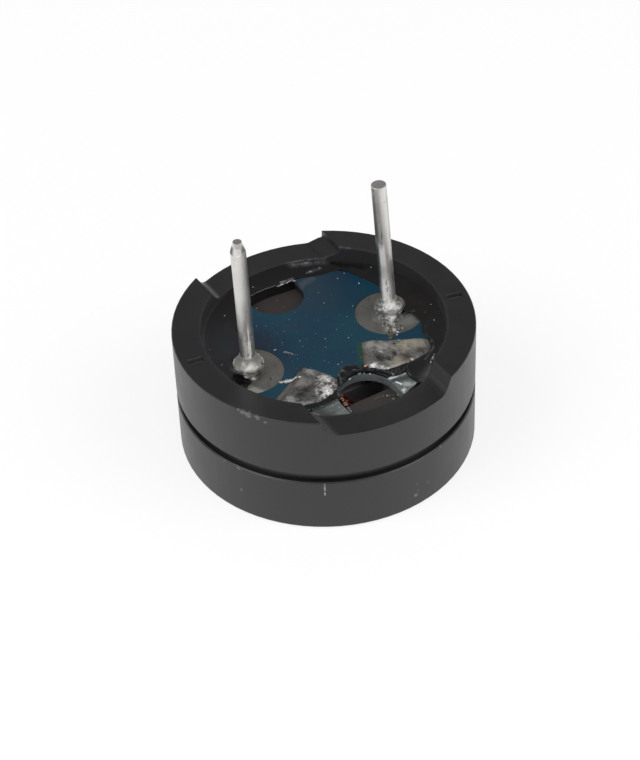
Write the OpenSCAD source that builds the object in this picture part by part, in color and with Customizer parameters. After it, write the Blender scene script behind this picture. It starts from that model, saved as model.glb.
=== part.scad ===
// Low magnetic buzzer for through-hole boards. The sound face lies at z = 0, the pins point up (+Z)
// and stand on the X axis. Lengths are in millimetres.

/* [Case] */
// Outside diameter of the case
case_d = 12; // [11.8:0.1:12.6]
// Height from the sound face to the high rim
case_h = 5.45; // [5.4:0.05:5.8]
// Height of the sound cap's side wall
cap_h = 2.4; // [2.2:0.05:2.5]
// Width of the groove between the cap and the base case
groove_w = 0.38; // [0.2:0.02:0.5]
// Depth of that groove
groove_depth = 0.22; // [0.15:0.01:0.25]
// Width of the rim round the board
rim_w = 1.15; // [1.1:0.05:1.2]
// Depth from the high rim to the floor that carries the board
recess = 1.3; // [1.2:0.05:1.4]
// Radius of the sound face's outer edge
edge_round = 0.12; // [0.05:0.01:0.2]
// Radius of the rim's top edges
rim_round = 0.05; // [0.02:0.01:0.08]
// How far the two notches drop below the high rim
notch_drop = 0.62; // [0.4:0.02:0.8]
// Rear notch: distance of its sloped end and of its stepped end from the middle plane
rear_notch = [2.8, 3.08]; // [2:0.02:3.4]
// Front notch: the same, turned half round
front_notch = [2.33, 3.24]; // [2:0.02:3.4]
// Height of the vertical face at a notch's stepped end
notch_step = 0.35; // [0.2:0.05:0.4]
// Diameter of the sound hole
sound_hole_d = 2; // [1.5:0.1:2.5]
// Thickness of the cap's front wall
front_t = 0.5; // [0.4:0.05:0.6]

/* [Circuit board] */
// Diameter of the round board
board_d = 9.1; // [8.8:0.05:9.1]
// Thickness of the bare laminate
board_t = 0.35; // [0.3:0.01:0.4]
// How far the board sits off the case's centre, along the pins
board_x = -0.2; // [-0.25:0.05:0.25]
// Width of the two slots in the board's edge
slot_w = 2.3; // [1.8:0.05:2.4]
// Distance from the centre to the inner end of the wire slot
wire_slot_in = 2.46; // [2.4:0.02:2.7]
// Distance from the centre to the inner end of the rear slot
rear_slot_in = 2.28; // [2.2:0.02:2.7]
// How far the wire slot sits off the board's centre, along the pins
wire_slot_x = -0.1; // [-0.2:0.02:0.1]
// Thickness of the copper
copper_t = 0.035; // [0.02:0.005:0.04]
// Thickness of the solder mask
mask_t = 0.06; // [0.05:0.005:0.08]
// Diameter of the round pads
pin_pad_d = 2.76; // [2.4:0.02:2.8]

/* [Pins] */
// Distance between the pins' feet
pitch = 6.5; // [6.4:0.1:6.6]
// Diameter of a pin
pin_d = 0.6; // [0.5:0.02:0.7]
// Length of a pin above the laminate
pin_l = 6.4; // [5:0.1:8]
// Diameter of the flange that a pin stands on
flange_d = 1.2; // [1:0.05:1.3]
// Thickness of that flange
flange_t = 0.15; // [0.1:0.01:0.2]
// Height of the flange above the laminate
flange_gap = 0.35; // [0.2:0.05:0.4]
// How far the left pin leans
left_lean = 1.1; // [0:0.1:4]
// How far the right pin leans
right_lean = 3.1; // [0:0.1:4]
// Direction that both pins lean in, from +X towards +Y
lean_way = 150; // [0:5:355]

/* [Drive] */
// Diameter of the diaphragm
diaphragm_d = 10; // [9.8:0.05:10.1]
// Thickness of the diaphragm
diaphragm_t = 0.06; // [0.04:0.01:0.1]
// Diameter of the armature on the diaphragm
armature_d = 3.6; // [3:0.1:4]
// Thickness of the armature
armature_t = 0.3; // [0.2:0.05:0.4]
// Air gap between the diaphragm and the pole
air_gap = 0.2; // [0.1:0.05:0.3]
// Thickness of the yoke plate
yoke_t = 0.7; // [0.5:0.05:0.8]
// Diameter of the magnet and the yoke plate
magnet_d = 9.2; // [9:0.05:9.25]
// Bore of the magnet
magnet_bore = 6.6; // [6.4:0.1:7]
// Diameter of the pole
pole_d = 1.6; // [1.4:0.1:1.8]
// Outside diameter of the coil
coil_d = 5.3; // [4.8:0.1:5.4]
// Diameter of the coil's lead wire
lead_d = 0.14; // [0.1:0.01:0.16]

/* [Hidden] */
$fn = 96;

case_r = case_d / 2;
rim_r = case_r - rim_w;                      // inside of the rim
floor_z = case_h - recess;                   // top of the case floor, where the board lies
floor_t = 0.35;
slide = 0.03;                                // moulding clearance between the two shells
spigot_r = case_r - groove_depth;            // outside of the cap's spigot
sleeve_r = 5.1;                              // outside of the base case's inner sleeve
sleeve_in = 4.65;                            // inside of that sleeve, round magnet and yoke
spigot_top = cap_h + groove_w + 0.67;        // the spigot bottoms here, in the base case's slot
chamber_z = front_t + armature_t + 0.3;      // underside of the diaphragm
seat_z = chamber_z + diaphragm_t;            // the sleeve's end, on which the diaphragm lies
yoke_z = floor_z - floor_t - yoke_t;
pole_z = seat_z + air_gap;
magnet_z = pole_z + 0.05;
stem_r = 0.5;                                // riveted stem of the pole

laminate_z = floor_z + board_t;              // top of the bare laminate
copper_z = laminate_z + copper_t;
mask_z = laminate_z + mask_t;
mask_edge = -3.3;                            // the mask stops here, and bare laminate begins
hole_r = 0.35;                               // pin holes in the board
flange_z = laminate_z + flange_gap;
root_z = flange_z + flange_t;                // a pin bends here, just above its flange
root_r = pin_d / 2 + 0.04;                   // and is a little thicker there
root_l = 0.4;
eps = 0.01;

// Wire pad of the right half, from the board's centre; the left half mirrors it.
wire_pad = [[1.34, -0.93], [3.62, -2.2], [3.35, -3.0], [1.25, -3.15], [1.08, -2.95], [0.62, -2.3]];
// Copper under the mask that joins the wire pad to the pin pad.
neck = [[2.2, -0.8], [2.95, -1.1], [3.05, -2.05], [2.2, -1.6]];

// Inner edge of the poured resin, anticlockwise from the wire slot's right-hand side.
resin_edge = [
    [1.6, -5.2], [1.62, -4.3], [1.7, -3.5], [1.9, -3.25], [2.7, -3.2], [3.25, -3.1], [3.6, -2.5],
    [3.78, -1.9], [3.85, -1.2], [3.85, -0.6], [3.45, -0.35], [3.7, 0.3], [3.85, 0.9], [3.6, 1.6],
    [3.4, 2.2], [3.2, 2.7], [3.1, 3.2], [2.8, 3.5], [2.0, 3.55], [1.4, 3.75], [0.7, 3.88],
    [-0.4, 3.95], [-1.3, 3.85], [-1.55, 3.4], [-1.85, 2.8], [-2.3, 2.0], [-2.8, 1.2], [-3.5, 0.95],
    [-3.95, 0.4], [-3.9, -0.4], [-4.2, -0.75], [-4.1, -1.3], [-3.9, -1.7], [-3.75, -2.2],
    [-3.35, -2.6], [-2.7, -3.3], [-2.5, -4.0], [-2.6, -5.2]
];

// Points of an arc about c, from angle a0 to a1.
function arc(c, r, a0, a1, n = 6) =
    [for (i = [0:n]) c + r * [cos(a0 + (a1 - a0) * i / n), sin(a0 + (a1 - a0) * i / n)]];

// One pass of corner cutting on a closed outline.
function cut_corners(p) = [
    for (i = [0:len(p) - 1]) let (a = p[i], b = p[(i + 1) % len(p)])
        each [0.75 * a + 0.25 * b, 0.25 * a + 0.75 * b]
];

// Point at t on a smooth curve through the points p.
function on_curve(p, t) =
    let (n = len(p) - 1, i = min(floor(t * n), n - 1), f = t * n - i,
         a = p[max(i - 1, 0)], b = p[i], c = p[i + 1], d = p[min(i + 2, n)])
    0.5 * (2 * b + (c - a) * f + (2 * a - 5 * b + 4 * c - d) * f * f
           + (3 * b - a - 3 * c + d) * f * f * f);

function unit(v) = v / norm(v);

// Solid tube of radius r that follows the points p.
module tube(p, r, rings = 20, sides = 8) {
    centres = [for (i = [0:rings]) on_curve(p, i / rings)];
    points = [
        for (i = [0:rings])
            let (along = unit(centres[min(i + 1, rings)] - centres[max(i - 1, 0)]),
                 u = unit(cross([1, 0, 0], along)), v = cross(along, u))
            for (k = [0:sides - 1])
                centres[i] + r * (u * cos(360 * k / sides) + v * sin(360 * k / sides))
    ];
    sides_faces = [
        for (i = [0:rings - 1]) for (k = [0:sides - 1]) let (n = (k + 1) % sides)
            [i * sides + k, (i + 1) * sides + k, (i + 1) * sides + n, i * sides + n]
    ];
    polyhedron(points, concat(sides_faces, [
        [for (k = [0:sides - 1]) k],
        [for (k = [sides - 1:-1:0]) rings * sides + k]
    ]), convexity = 8);
}

// Lump of solder on a pad: the outline rises in shrinking rings to a rough crown.
module solder_mound(outline, height, seed, rings = 5) {
    n = len(outline);
    middle = [for (k = [0, 1]) [for (p = outline) p[k]] * [for (p = outline) 1 / n]];
    function rough(p) = 1 + 0.28 * sin(p[0] * 260 + seed) * cos(p[1] * 310 - seed)
        + 0.14 * sin(p[0] * 610 - p[1] * 540 + 2 * seed);
    points = [
        for (i = [0:rings]) let (s = 1 - pow(i / (rings + 1), 1.35))
            for (p = outline) let (q = middle + (p - middle) * s)
                [q[0], q[1], i == 0 ? 0 : height * rough(q) * pow(1 - s * s, 0.6)],
        [middle[0], middle[1], height * rough(middle)]
    ];
    walls = [
        for (i = [0:rings - 1]) for (k = [0:n - 1]) let (m = (k + 1) % n)
            each [[i * n + k, (i + 1) * n + k, (i + 1) * n + m], [i * n + k, (i + 1) * n + m, i * n + m]]
    ];
    crown = [for (k = [0:n - 1]) [rings * n + k, (rings + 1) * n, rings * n + (k + 1) % n]];
    polyhedron(points, concat([[for (k = [0:n - 1]) k]], walls, crown), convexity = 6);
}

// ---- case ----

// Rim notch: a straight channel square to the line of the pins. Its left end slopes down into a
// wide radius, and its right end has a vertical step above a ramp.
module notch(ends) {
    low = case_h - notch_drop;
    step_z = case_h - notch_step;
    slope = 59;
    foot_r = 0.45;
    foot_x = -ends[0] + notch_drop / tan(slope) + foot_r * tan(slope / 2);
    rotate([90, 0, 0])
        translate([0, 0, -1.5 * case_r])
            linear_extrude(1.5 * case_r - 2)
                polygon(concat(
                    [[-ends[0] - 0.5 / tan(slope), case_h + 0.5]],
                    arc([foot_x, low + foot_r], foot_r, 270 - slope, 270, 10),
                    [[ends[1] - 0.62, low], [ends[1] - 0.5, low + 0.02],
                     [ends[1] - 0.12, step_z - 0.03], [ends[1] - 0.03, step_z],
                     [ends[1], step_z + 0.04], [ends[1], case_h + 0.5]]
                ));
}

// Shallow moulding mark across the rim.
module rim_dimple(angle) {
    radius = 0.3;
    rotate([0, 0, angle])
        translate([rim_r + 0.25, 0, case_h + radius - 0.06])
            rotate([0, 90, 0])
                cylinder(r = radius, h = 0.6, $fn = 48);
}

module sound_cap() {
    color("#2b2b2d")
        rotate_extrude()
            polygon(concat(
                [[sound_hole_d / 2, 0]],
                arc([case_r - edge_round, edge_round], edge_round, -90, 0),
                [[case_r, cap_h - 0.05], [case_r - 0.05, cap_h], [spigot_r, cap_h],
                 [spigot_r, spigot_top], [sleeve_r + slide, spigot_top],
                 [sleeve_r + slide, front_t], [sound_hole_d / 2, front_t]]
            ));
}

module base_case() {
    skirt_z = cap_h + groove_w;
    color("#29292b")
        difference() {
            rotate_extrude()
                polygon(concat(
                    [[0, floor_z - floor_t], [sleeve_in, floor_z - floor_t], [sleeve_in, seat_z],
                     [sleeve_r, seat_z], [sleeve_r, spigot_top], [spigot_r + slide, spigot_top],
                     [spigot_r + slide, skirt_z], [case_r - 0.05, skirt_z], [case_r, skirt_z + 0.05]],
                    arc([case_r - rim_round, case_h - rim_round], rim_round, 0, 90),
                    arc([rim_r + rim_round, case_h - rim_round], rim_round, 90, 180),
                    [[rim_r, floor_z], [0, floor_z]]
                ));
            notch(rear_notch);
            rotate([0, 0, 180]) notch(front_notch);
            rim_dimple(-16);
            rim_dimple(172);
            translate([board_x - 1.12, -3.5, floor_z - 1]) cube([2.2, 1.15, 2]);
        }
}

// ---- drive ----

module diaphragm() {
    color("#b9bcbe")
        translate([0, 0, chamber_z]) cylinder(d = diaphragm_d, h = diaphragm_t);
}

module armature_disc() {
    color("#9a9d9f")
        translate([0, 0, chamber_z - armature_t]) cylinder(d = armature_d, h = armature_t);
}

module magnet_ring() {
    color("#3c3a3a")
        translate([0, 0, magnet_z])
            difference() {
                cylinder(d = magnet_d, h = yoke_z - magnet_z);
                translate([0, 0, -1]) cylinder(d = magnet_bore, h = yoke_z - magnet_z + 2);
            }
}

module pole_core() {
    color("#8d8f91") {
        translate([0, 0, pole_z]) cylinder(d = pole_d, h = yoke_z - pole_z);
        translate([0, 0, yoke_z - eps]) cylinder(r = stem_r, h = yoke_t + eps);
    }
}

module yoke_plate() {
    color("#a3a6a8")
        translate([0, 0, yoke_z])
            difference() {
                cylinder(d = magnet_d, h = yoke_t);
                translate([0, 0, -1]) cylinder(r = stem_r, h = yoke_t + 2);
                translate([-1.3 + board_x, -magnet_d, -1]) cube([2.6, magnet_d - 2.45, yoke_t + 2]);
            }
}

// The winding is one wire: its layers make ridges, and its two ends rise through the wire slot.
module coil_winding() {
    turns = 9;
    low = pole_z + 0.15;
    step = (yoke_z - low) / turns;
    ridges = [
        for (i = [0:turns - 1])
            each arc([coil_d / 2 - step / 2, low + step * (i + 0.5)], step / 2, -75, 75, 4)
    ];
    color("#b5622f") {
        rotate_extrude()
            polygon(concat([[pole_d / 2, low]], ridges, [[pole_d / 2, low + turns * step]]));
        coil_leads();
    }
}

module coil_leads() {
    over = mask_z + lead_d / 2 + 0.02;
    tube([[-0.8, -2.2, yoke_z - 0.2], [-0.98, -2.85, yoke_z + 0.1], [-1.02, -3.02, floor_z - 0.2],
          [-1.06, -3.02, laminate_z - 0.1], [-1.12, -2.9, over], [-1.3, -2.65, over],
          [-1.5, -2.4, over]], lead_d / 2);
    tube([[0.5, -2.3, yoke_z - 0.2], [0.22, -2.9, yoke_z + 0.15], [0.1, -2.95, floor_z - 0.1],
          [0.1, -2.72, laminate_z - 0.02], [0.16, -2.5, over], [0.45, -2.3, over],
          [0.85, -2.15, over]], lead_d / 2);
}

// ---- circuit board ----

// Slot that is open at the board's edge and round at its inner end.
module edge_slot(inner) {
    half = slot_w / 2;
    translate([-half, inner + half]) square([slot_w, board_d]);
    translate([0, inner + half]) circle(half);
}

module board_outline() {
    difference() {
        circle(d = board_d);
        translate([wire_slot_x, 0]) mirror([0, 1]) edge_slot(wire_slot_in);
        edge_slot(rear_slot_in);
        for (side = [-1, 1]) translate([side * pitch / 2, 0]) circle(hole_r);
    }
}

module circuit_board() {
    color("#9fb3a8")
        translate([board_x, 0, floor_z]) linear_extrude(board_t) board_outline();
}

module solder_mask() {
    color("#14394f")
        difference() {
            translate([board_x, 0, laminate_z])
                linear_extrude(mask_t)
                    difference() {
                        board_outline();
                        translate([-board_d, mask_edge - board_d]) square([2 * board_d, board_d]);
                        for (side = [0, 1]) mirror([side, 0]) {
                            translate([pitch / 2, 0]) circle(d = pin_pad_d);
                            polygon(wire_pad);
                        }
                    }
            copper_left();
            copper_right();
        }
}

// Tinned copper of the right half: pin pad, wire pad and the neck between them.
module copper_island() {
    difference() {
        union() {
            translate([pitch / 2, 0, 0]) cylinder(d = pin_pad_d, h = copper_t);
            linear_extrude(copper_t) polygon(neck);
            linear_extrude(copper_t) polygon(wire_pad);
        }
        translate([pitch / 2, 0, -1]) cylinder(r = hole_r, h = 2);
    }
}

module copper_left() {
    color("#8a8a84") translate([board_x, 0, laminate_z]) mirror([1, 0, 0]) copper_island();
}

module copper_right() {
    color("#8a8a84") translate([board_x, 0, laminate_z]) copper_island();
}

// ---- pins ----

// Tips, as [distance below the end, radius]: one is pinched by the cutter, one is cut square.
pinched_tip = [[0.44, pin_d / 2], [0.36, 0.275], [0.12, 0.195], [0, 0.17]];
square_tip = [[0.02, pin_d / 2], [0, pin_d / 2 - 0.02]];

module lean(angle) {
    rotate([0, 0, lean_way]) rotate([0, angle, 0]) rotate([0, 0, -lean_way]) children();
}

// A pin: shank in the board, flange above it, tapered root, and a straight wire that leans a little.
module pin(angle, tip) {
    wire_l = pin_l - flange_gap - flange_t;
    translate([0, 0, floor_z]) cylinder(r = hole_r, h = flange_z - floor_z + eps);
    translate([0, 0, flange_z]) cylinder(d = flange_d, h = flange_t);
    translate([0, 0, root_z])
        lean(angle) {
            translate([0, 0, -0.05]) cylinder(r1 = root_r, r2 = pin_d / 2, h = root_l + 0.05);
            rotate_extrude()
                polygon(concat([[0, 0], [pin_d / 2, 0]],
                               [for (t = tip) [t[1], wire_l - t[0]]], [[0, wire_l]]));
        }
}

module pin_left() {
    color("#c9c9c6") translate([board_x - pitch / 2, 0, 0]) pin(left_lean, pinched_tip);
}

module pin_right() {
    color("#c9c9c6") translate([board_x + pitch / 2, 0, 0]) pin(right_lean, square_tip);
}

// ---- solder ----

module above_copper() {
    intersection() {
        children();
        translate([-case_r, -case_r, copper_z]) cube([case_d, case_d, 4]);
    }
}

// Solder that wets the flange all round and leaves a waist under it.
module pin_solder_left() {
    color("#d2d2cf")
        difference() {
            translate([board_x - pitch / 2, 0, 0]) {
                rotate_extrude()
                    polygon([[0, copper_z], [0.66, copper_z], [0.5, copper_z + 0.07],
                             [0.47, flange_z - 0.08], [0.63, flange_z + 0.01],
                             [0.66, flange_z + 0.06], [0.63, root_z + 0.03], [0.52, root_z + 0.05],
                             [0.43, root_z + 0.13], [root_r + 0.02, root_z + 0.26], [0, root_z + 0.26]]);
                above_copper() {
                    union() {
                        translate([-0.33, -0.42, copper_z + 0.1]) sphere(0.21, $fn = 40);
                        translate([-0.1, -0.55, copper_z + 0.04]) sphere(0.15, $fn = 40);
                        translate([0.42, 0.4, flange_z + 0.13]) sphere(0.1, $fn = 32);
                    }
                }
            }
            pin_left();
        }
}

// Solder that buries the flange, with lumps beside it and a tongue towards the wire pad.
module pin_solder_right() {
    color("#d2d2cf")
        difference() {
            translate([board_x + pitch / 2, 0, 0]) {
                rotate_extrude()
                    polygon([[0, copper_z], [0.8, copper_z], [0.68, copper_z + 0.1],
                             [0.62, flange_z - 0.1], [0.64, flange_z + 0.06], [0.6, root_z + 0.03],
                             [0.5, root_z + 0.06], [0.42, root_z + 0.14],
                             [root_r + 0.02, root_z + 0.27], [0, root_z + 0.27]]);
                above_copper() {
                    union() {
                        translate([0.36, 0.1, flange_z + 0.1]) sphere(0.3, $fn = 48);
                        translate([-0.1, -0.42, copper_z + 0.16]) sphere(0.3, $fn = 48);
                        translate([-0.28, -0.72, copper_z + 0.02]) sphere(0.26, $fn = 48);
                        translate([-0.42, -1.0, copper_z - 0.02]) sphere(0.2, $fn = 40);
                    }
                }
            }
            pin_right();
        }
}

// Solder on the wire pads, kept a little inside the copper.
module wire_solder(height, seed) {
    middle = [2.2, -2.2];
    outline = [
        for (i = [0:len(wire_pad) - 1]) let (a = wire_pad[i], b = wire_pad[(i + 1) % len(wire_pad)])
            for (t = [0.1, 0.37, 0.63, 0.9]) middle + (a + (b - a) * t - middle) * 0.97
    ];
    translate([0, 0, copper_z]) solder_mound(outline, height, seed);
}

module wire_solder_left() {
    color("#b4b3ac")
        difference() {
            translate([board_x, 0, 0]) mirror([1, 0, 0]) wire_solder(0.2, 40);
            coil_leads();
        }
}

module wire_solder_right() {
    color("#b4b3ac")
        difference() {
            translate([board_x, 0, 0]) wire_solder(0.22, 115);
            coil_leads();
        }
}

// Thin run of solder on the mask, from the left wire pad to the pin pad.
module solder_link_left() {
    start = [-2.62, -1.36, mask_z];
    end = [-2.02, -1.52, mask_z];
    r = 0.075;
    turn = atan2(end[1] - start[1], end[0] - start[0]);
    color("#d2d2cf")
        difference() {
            intersection() {
                union() {
                    for (p = [start, end]) translate(p) sphere(r, $fn = 32);
                    translate(start)
                        rotate([0, 90, turn]) cylinder(r = r, h = norm(end - start), $fn = 32);
                }
                translate([-4, -3, mask_z]) cube([4, 3, 1]);
            }
            wire_solder_left();
        }
}

// ---- resin ----

// Black resin poured round the board: it climbs the rim in a meniscus and laps over the pads.
module edge_resin() {
    level = mask_z + 0.07;
    function climb(r) = level + 0.2 * pow(max(0, (r - 3.5) / (rim_r - 3.5)), 3);
    color("#161517")
        difference() {
            intersection() {
                rotate_extrude()
                    polygon(concat([[0, floor_z], [rim_r, floor_z]],
                                   [for (r = [rim_r, 4.7, 4.5, 4.2, 3.85, 3.5]) [r, climb(r)]],
                                   [[0, level]]));
                translate([0, 0, floor_z - 1])
                    linear_extrude(3)
                        difference() {
                            circle(2 * case_r);
                            polygon(cut_corners(resin_edge));
                        }
            }
            circuit_board();
            solder_mask();
            copper_left();
            copper_right();
            pin_left();
            pin_right();
            pin_solder_left();
            pin_solder_right();
            wire_solder_left();
        }
}

sound_cap();
base_case();
diaphragm();
armature_disc();
magnet_ring();
pole_core();
yoke_plate();
coil_winding();
circuit_board();
solder_mask();
copper_left();
copper_right();
pin_left();
pin_right();
pin_solder_left();
pin_solder_right();
wire_solder_left();
wire_solder_right();
solder_link_left();
edge_resin();
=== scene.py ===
# %% [markdown]
# # A low magnetic buzzer, seen from its pin side
# The object is a buzzer for circuit boards: a black moulded case, 12 mm across, with a small
# board sunk into its rear and two tinned pins. The CAD model already holds every solid at its real
# size. This lesson gives those solids their finishes, and adds what a drawing leaves out: poured
# resin with a skin, hand-made solder, a real winding, flux, glue, dust and small chips.

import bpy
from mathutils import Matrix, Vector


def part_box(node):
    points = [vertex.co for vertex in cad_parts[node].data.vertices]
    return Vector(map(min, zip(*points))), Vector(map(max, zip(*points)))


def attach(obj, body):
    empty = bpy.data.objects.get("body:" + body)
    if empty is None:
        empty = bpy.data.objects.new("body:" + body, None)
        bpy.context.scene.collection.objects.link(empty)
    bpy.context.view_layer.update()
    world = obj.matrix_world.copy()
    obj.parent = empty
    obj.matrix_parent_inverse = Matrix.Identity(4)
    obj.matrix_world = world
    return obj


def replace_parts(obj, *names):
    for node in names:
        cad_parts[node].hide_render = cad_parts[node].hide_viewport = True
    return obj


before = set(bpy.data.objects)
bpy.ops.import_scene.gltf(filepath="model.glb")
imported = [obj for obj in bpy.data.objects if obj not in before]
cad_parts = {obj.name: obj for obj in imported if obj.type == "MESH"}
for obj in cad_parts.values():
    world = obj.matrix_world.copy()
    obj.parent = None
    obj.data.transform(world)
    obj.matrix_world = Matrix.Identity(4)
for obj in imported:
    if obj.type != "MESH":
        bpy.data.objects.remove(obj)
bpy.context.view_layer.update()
print("CAD nodes:", len(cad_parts))

# %% [markdown]
# ## Measures
# Blender works in metres, and this object is a few millimetres high, so every size below is a
# number of millimetres and is scaled once, when a mesh is made. Levels and radii are read from the
# boxes of the CAD nodes: if the CAD changes, the dressing follows it.

# %% Levels and radii of the buzzer
import math
import random

import bmesh
import bpy
import numpy as np
from mathutils import Matrix, Vector, noise

MM = 0.001
FLANGE_R = 0.6


def reach(node, axis, end=1):
    """How far a CAD node reaches along an axis, in millimetres. End 0 is its low side."""
    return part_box(node)[end][axis] / MM


X, Z = 0, 2
CASE_R = reach("base_case", X)
RIM_Z = reach("base_case", Z)
SKIRT_Z = reach("base_case", Z, 0)
RIM_IN = reach("edge_resin", X)
FLOOR_Z = reach("circuit_board", Z, 0)
LAMINATE_Z = reach("circuit_board", Z)
COPPER_Z = reach("copper_left", Z)
MASK_Z = reach("solder_mask", Z)
BOARD_R = (reach("circuit_board", X) - reach("circuit_board", X, 0)) / 2
BOARD_X = reach("circuit_board", X) - BOARD_R
FEET = {side: reach("pin_" + side, X) - FLANGE_R for side in ("left", "right")}
print(f"case r {CASE_R:.2f}, rim z {RIM_Z:.2f}, mask z {MASK_Z:.3f}, board r {BOARD_R:.2f}, feet {FEET}")

# %% [markdown]
# ## A small language for nodes
# Both finishes and Geometry Nodes are trees of nodes. One class holds a tree and adds nodes to it,
# and another wraps a socket so that Python's own + - * / build the Math nodes. A long chain of
# links then reads like the formula that it is.

# %% Sockets that do arithmetic, and trees that they live in
class Wire:
    """A socket of a tree. Arithmetic on it adds Math nodes."""

    def __init__(self, graph, socket):
        self.graph = graph
        self.socket = socket

    def other(self, name):
        """Another output of the same node."""
        return Wire(self.graph, self.socket.node.outputs[name])

    def math(self, operation, *values):
        return self.graph.add("ShaderNodeMath", dict(enumerate(values)), operation=operation)

    def __add__(self, value):
        return self.math("ADD", self, value)

    def __sub__(self, value):
        return self.math("SUBTRACT", self, value)

    def __rsub__(self, value):
        return self.math("SUBTRACT", value, self)

    def __mul__(self, value):
        return self.math("MULTIPLY", self, value)

    def __truediv__(self, value):
        return self.math("DIVIDE", self, value)

    def __pow__(self, value):
        return self.math("POWER", self, value)

    __radd__ = __add__
    __rmul__ = __mul__

    def larger(self, value):
        return self.math("MAXIMUM", self, value)

    def smaller(self, value):
        return self.math("MINIMUM", self, value)

    def fade(self, start, end, low=0.0, high=1.0):
        """Goes smoothly from low at start to high at end."""
        sockets = {0: self, 1: start, 2: end, 3: low, 4: high}
        return self.graph.add("ShaderNodeMapRange", sockets, interpolation_type="SMOOTHSTEP")


class Graph:
    """A node tree under construction."""

    def __init__(self, tree):
        self.tree = tree

    def add(self, kind, sockets=None, out=0, **settings):
        """Adds a node: its type, its settings, then the values or links of its sockets."""
        node = self.tree.nodes.new(kind)
        for name, value in settings.items():
            setattr(node, name, value)
        for name, value in (sockets or {}).items():
            if isinstance(value, Wire):
                self.tree.links.new(value.socket, node.inputs[name])
            else:
                node.inputs[name].default_value = value
        return Wire(self, node.outputs[out]) if node.outputs else node

    def vector(self, operation, *values, **named):
        sockets = {**dict(enumerate(values)), **named}
        return self.add("ShaderNodeVectorMath", sockets, operation=operation)


# %% [markdown]
# ## Finishes
# A finish is a material whose pattern is worked out from the place on the object, so it needs no
# picture and no unwrapping. Every finish starts from Object coordinates turned into millimetres.
# Noise, fades and distances then become masks, and masks mix colours and roughnesses.

# %% The class for a finish
class Finish(Graph):
    """A material under construction. Places are in millimetres, colours are linear."""

    def __init__(self, name):
        self.material = bpy.data.materials.new(name)
        self.material.use_nodes = True
        super().__init__(self.material.node_tree)
        self.tree.nodes.clear()
        where = self.add("ShaderNodeTexCoord", out="Object")
        self.place = self.vector("SCALE", where, Scale=1 / MM)
        self.x = self.add("ShaderNodeSeparateXYZ", {0: self.place})
        self.y = self.x.other("Y")
        self.z = self.x.other("Z")

    def noise(self, scale, detail=2.0, rough=0.5, stretch=None):
        """Noise from 0 to 1 with that many cells to the millimetre."""
        place = self.vector("MULTIPLY", self.place, stretch) if stretch else self.place
        sockets = {"Vector": place, "Scale": scale, "Detail": detail, "Roughness": rough}
        return self.add("ShaderNodeTexNoise", sockets)

    def normal(self):
        """The way the surface faces."""
        return self.add("ShaderNodeNewGeometry", out="Normal")

    def upward(self):
        """1 where the surface faces up, 0 where it is upright."""
        return self.add("ShaderNodeSeparateXYZ", {0: self.normal()}, "Z")

    def from_axis(self, x=0.0):
        """Distance from an upright line through x on the X axis."""
        off = self.x - x if x else self.x
        return (off * off + self.y * self.y) ** 0.5

    def near(self, point, radius, soft=0.5, torn=0.0):
        """1 round a point, fading to 0 at the radius. A torn distance makes the patch ragged."""
        away = self.vector("DISTANCE", self.place, point).other("Value") + torn
        return away.fade(radius, radius * (1 - soft))

    def along(self, start, end, radius, soft=0.6):
        """1 on the straight line from start to end, fading to 0 at that distance from it."""
        way = Vector(end) - Vector(start)
        place = self.vector("SUBTRACT", self.place, start)
        share = self.vector("DOT_PRODUCT", place, way / way.length_squared).other("Value")
        nearest = self.vector("SCALE", way, Scale=share.larger(0.0).smaller(1.0))
        away = self.vector("DISTANCE", place, nearest).other("Value")
        return away.fade(radius, radius * (1 - soft))

    def mix(self, mask, low, high):
        """The first colour where the mask is 0, the second where it is 1."""
        return self.add("ShaderNodeMix", {0: mask, 6: low, 7: high}, 2, data_type="RGBA")

    def coats(self, colour, *layers):
        """Lays more colours over one, in order. A layer is (mask, colour)."""
        for mask, over in layers:
            colour = self.mix(mask, colour, over)
        return colour

    def bump(self, height, depth, under=None):
        """A normal from a height between 0 and 1, that deep in micrometres."""
        sockets = {"Height": height, "Distance": depth * 1e-6, "Strength": 1.0}
        if under:
            sockets["Normal"] = under
        return self.add("ShaderNodeBump", sockets)

    def surface(self, **sockets):
        """Ends the material with a Principled shader. Names are its sockets, with _ for a space."""
        named = {name.replace("_", " "): value for name, value in sockets.items()}
        shader = self.add("ShaderNodeBsdfPrincipled", named)
        self.add("ShaderNodeOutputMaterial", {"Surface": shader})
        return self.material


def shade(r, g=None, b=None):
    """A linear colour, or a grey from one number."""
    return (r, r if g is None else g, r if b is None else b, 1.0)


def polar(degrees, out, z=0.0):
    """The point at that angle and distance from the middle, at height z."""
    turn = math.radians(degrees)
    return (out * math.cos(turn), out * math.sin(turn), z)


# %% [markdown]
# ## Camera, floor and light
# Black plastic shows little colour of its own: what the eye reads is what it mirrors. The side wall
# mirrors the pale floor, so it looks grey, and the rim's top mirrors the far side of the room, so it
# looks nearly black. The world is therefore pale near the horizon and dim overhead, and the main
# light comes from two large soft panels beside the camera.

# %% The camera looks down on the pins
AIM = Vector((-0.216, 0.097, 2.473)) * MM
AROUND, ABOVE, TILT = (math.radians(a) for a in (-30, 40.77, -2.45))
DISTANCE = 91.05 * MM
FOCAL, SENSOR = 107.3, 36


def add_object(name, data):
    """Adds an object to the scene."""
    added = bpy.data.objects.new(name, data)
    bpy.context.scene.collection.objects.link(added)
    return added


def placed(around, tip, distance):
    """A place at that distance from the middle, looking back at it."""
    turn = Matrix.Rotation(around, 4, "Z") @ Matrix.Rotation(tip, 4, "X")
    return turn @ Matrix.Translation((0, 0, distance))


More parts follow.
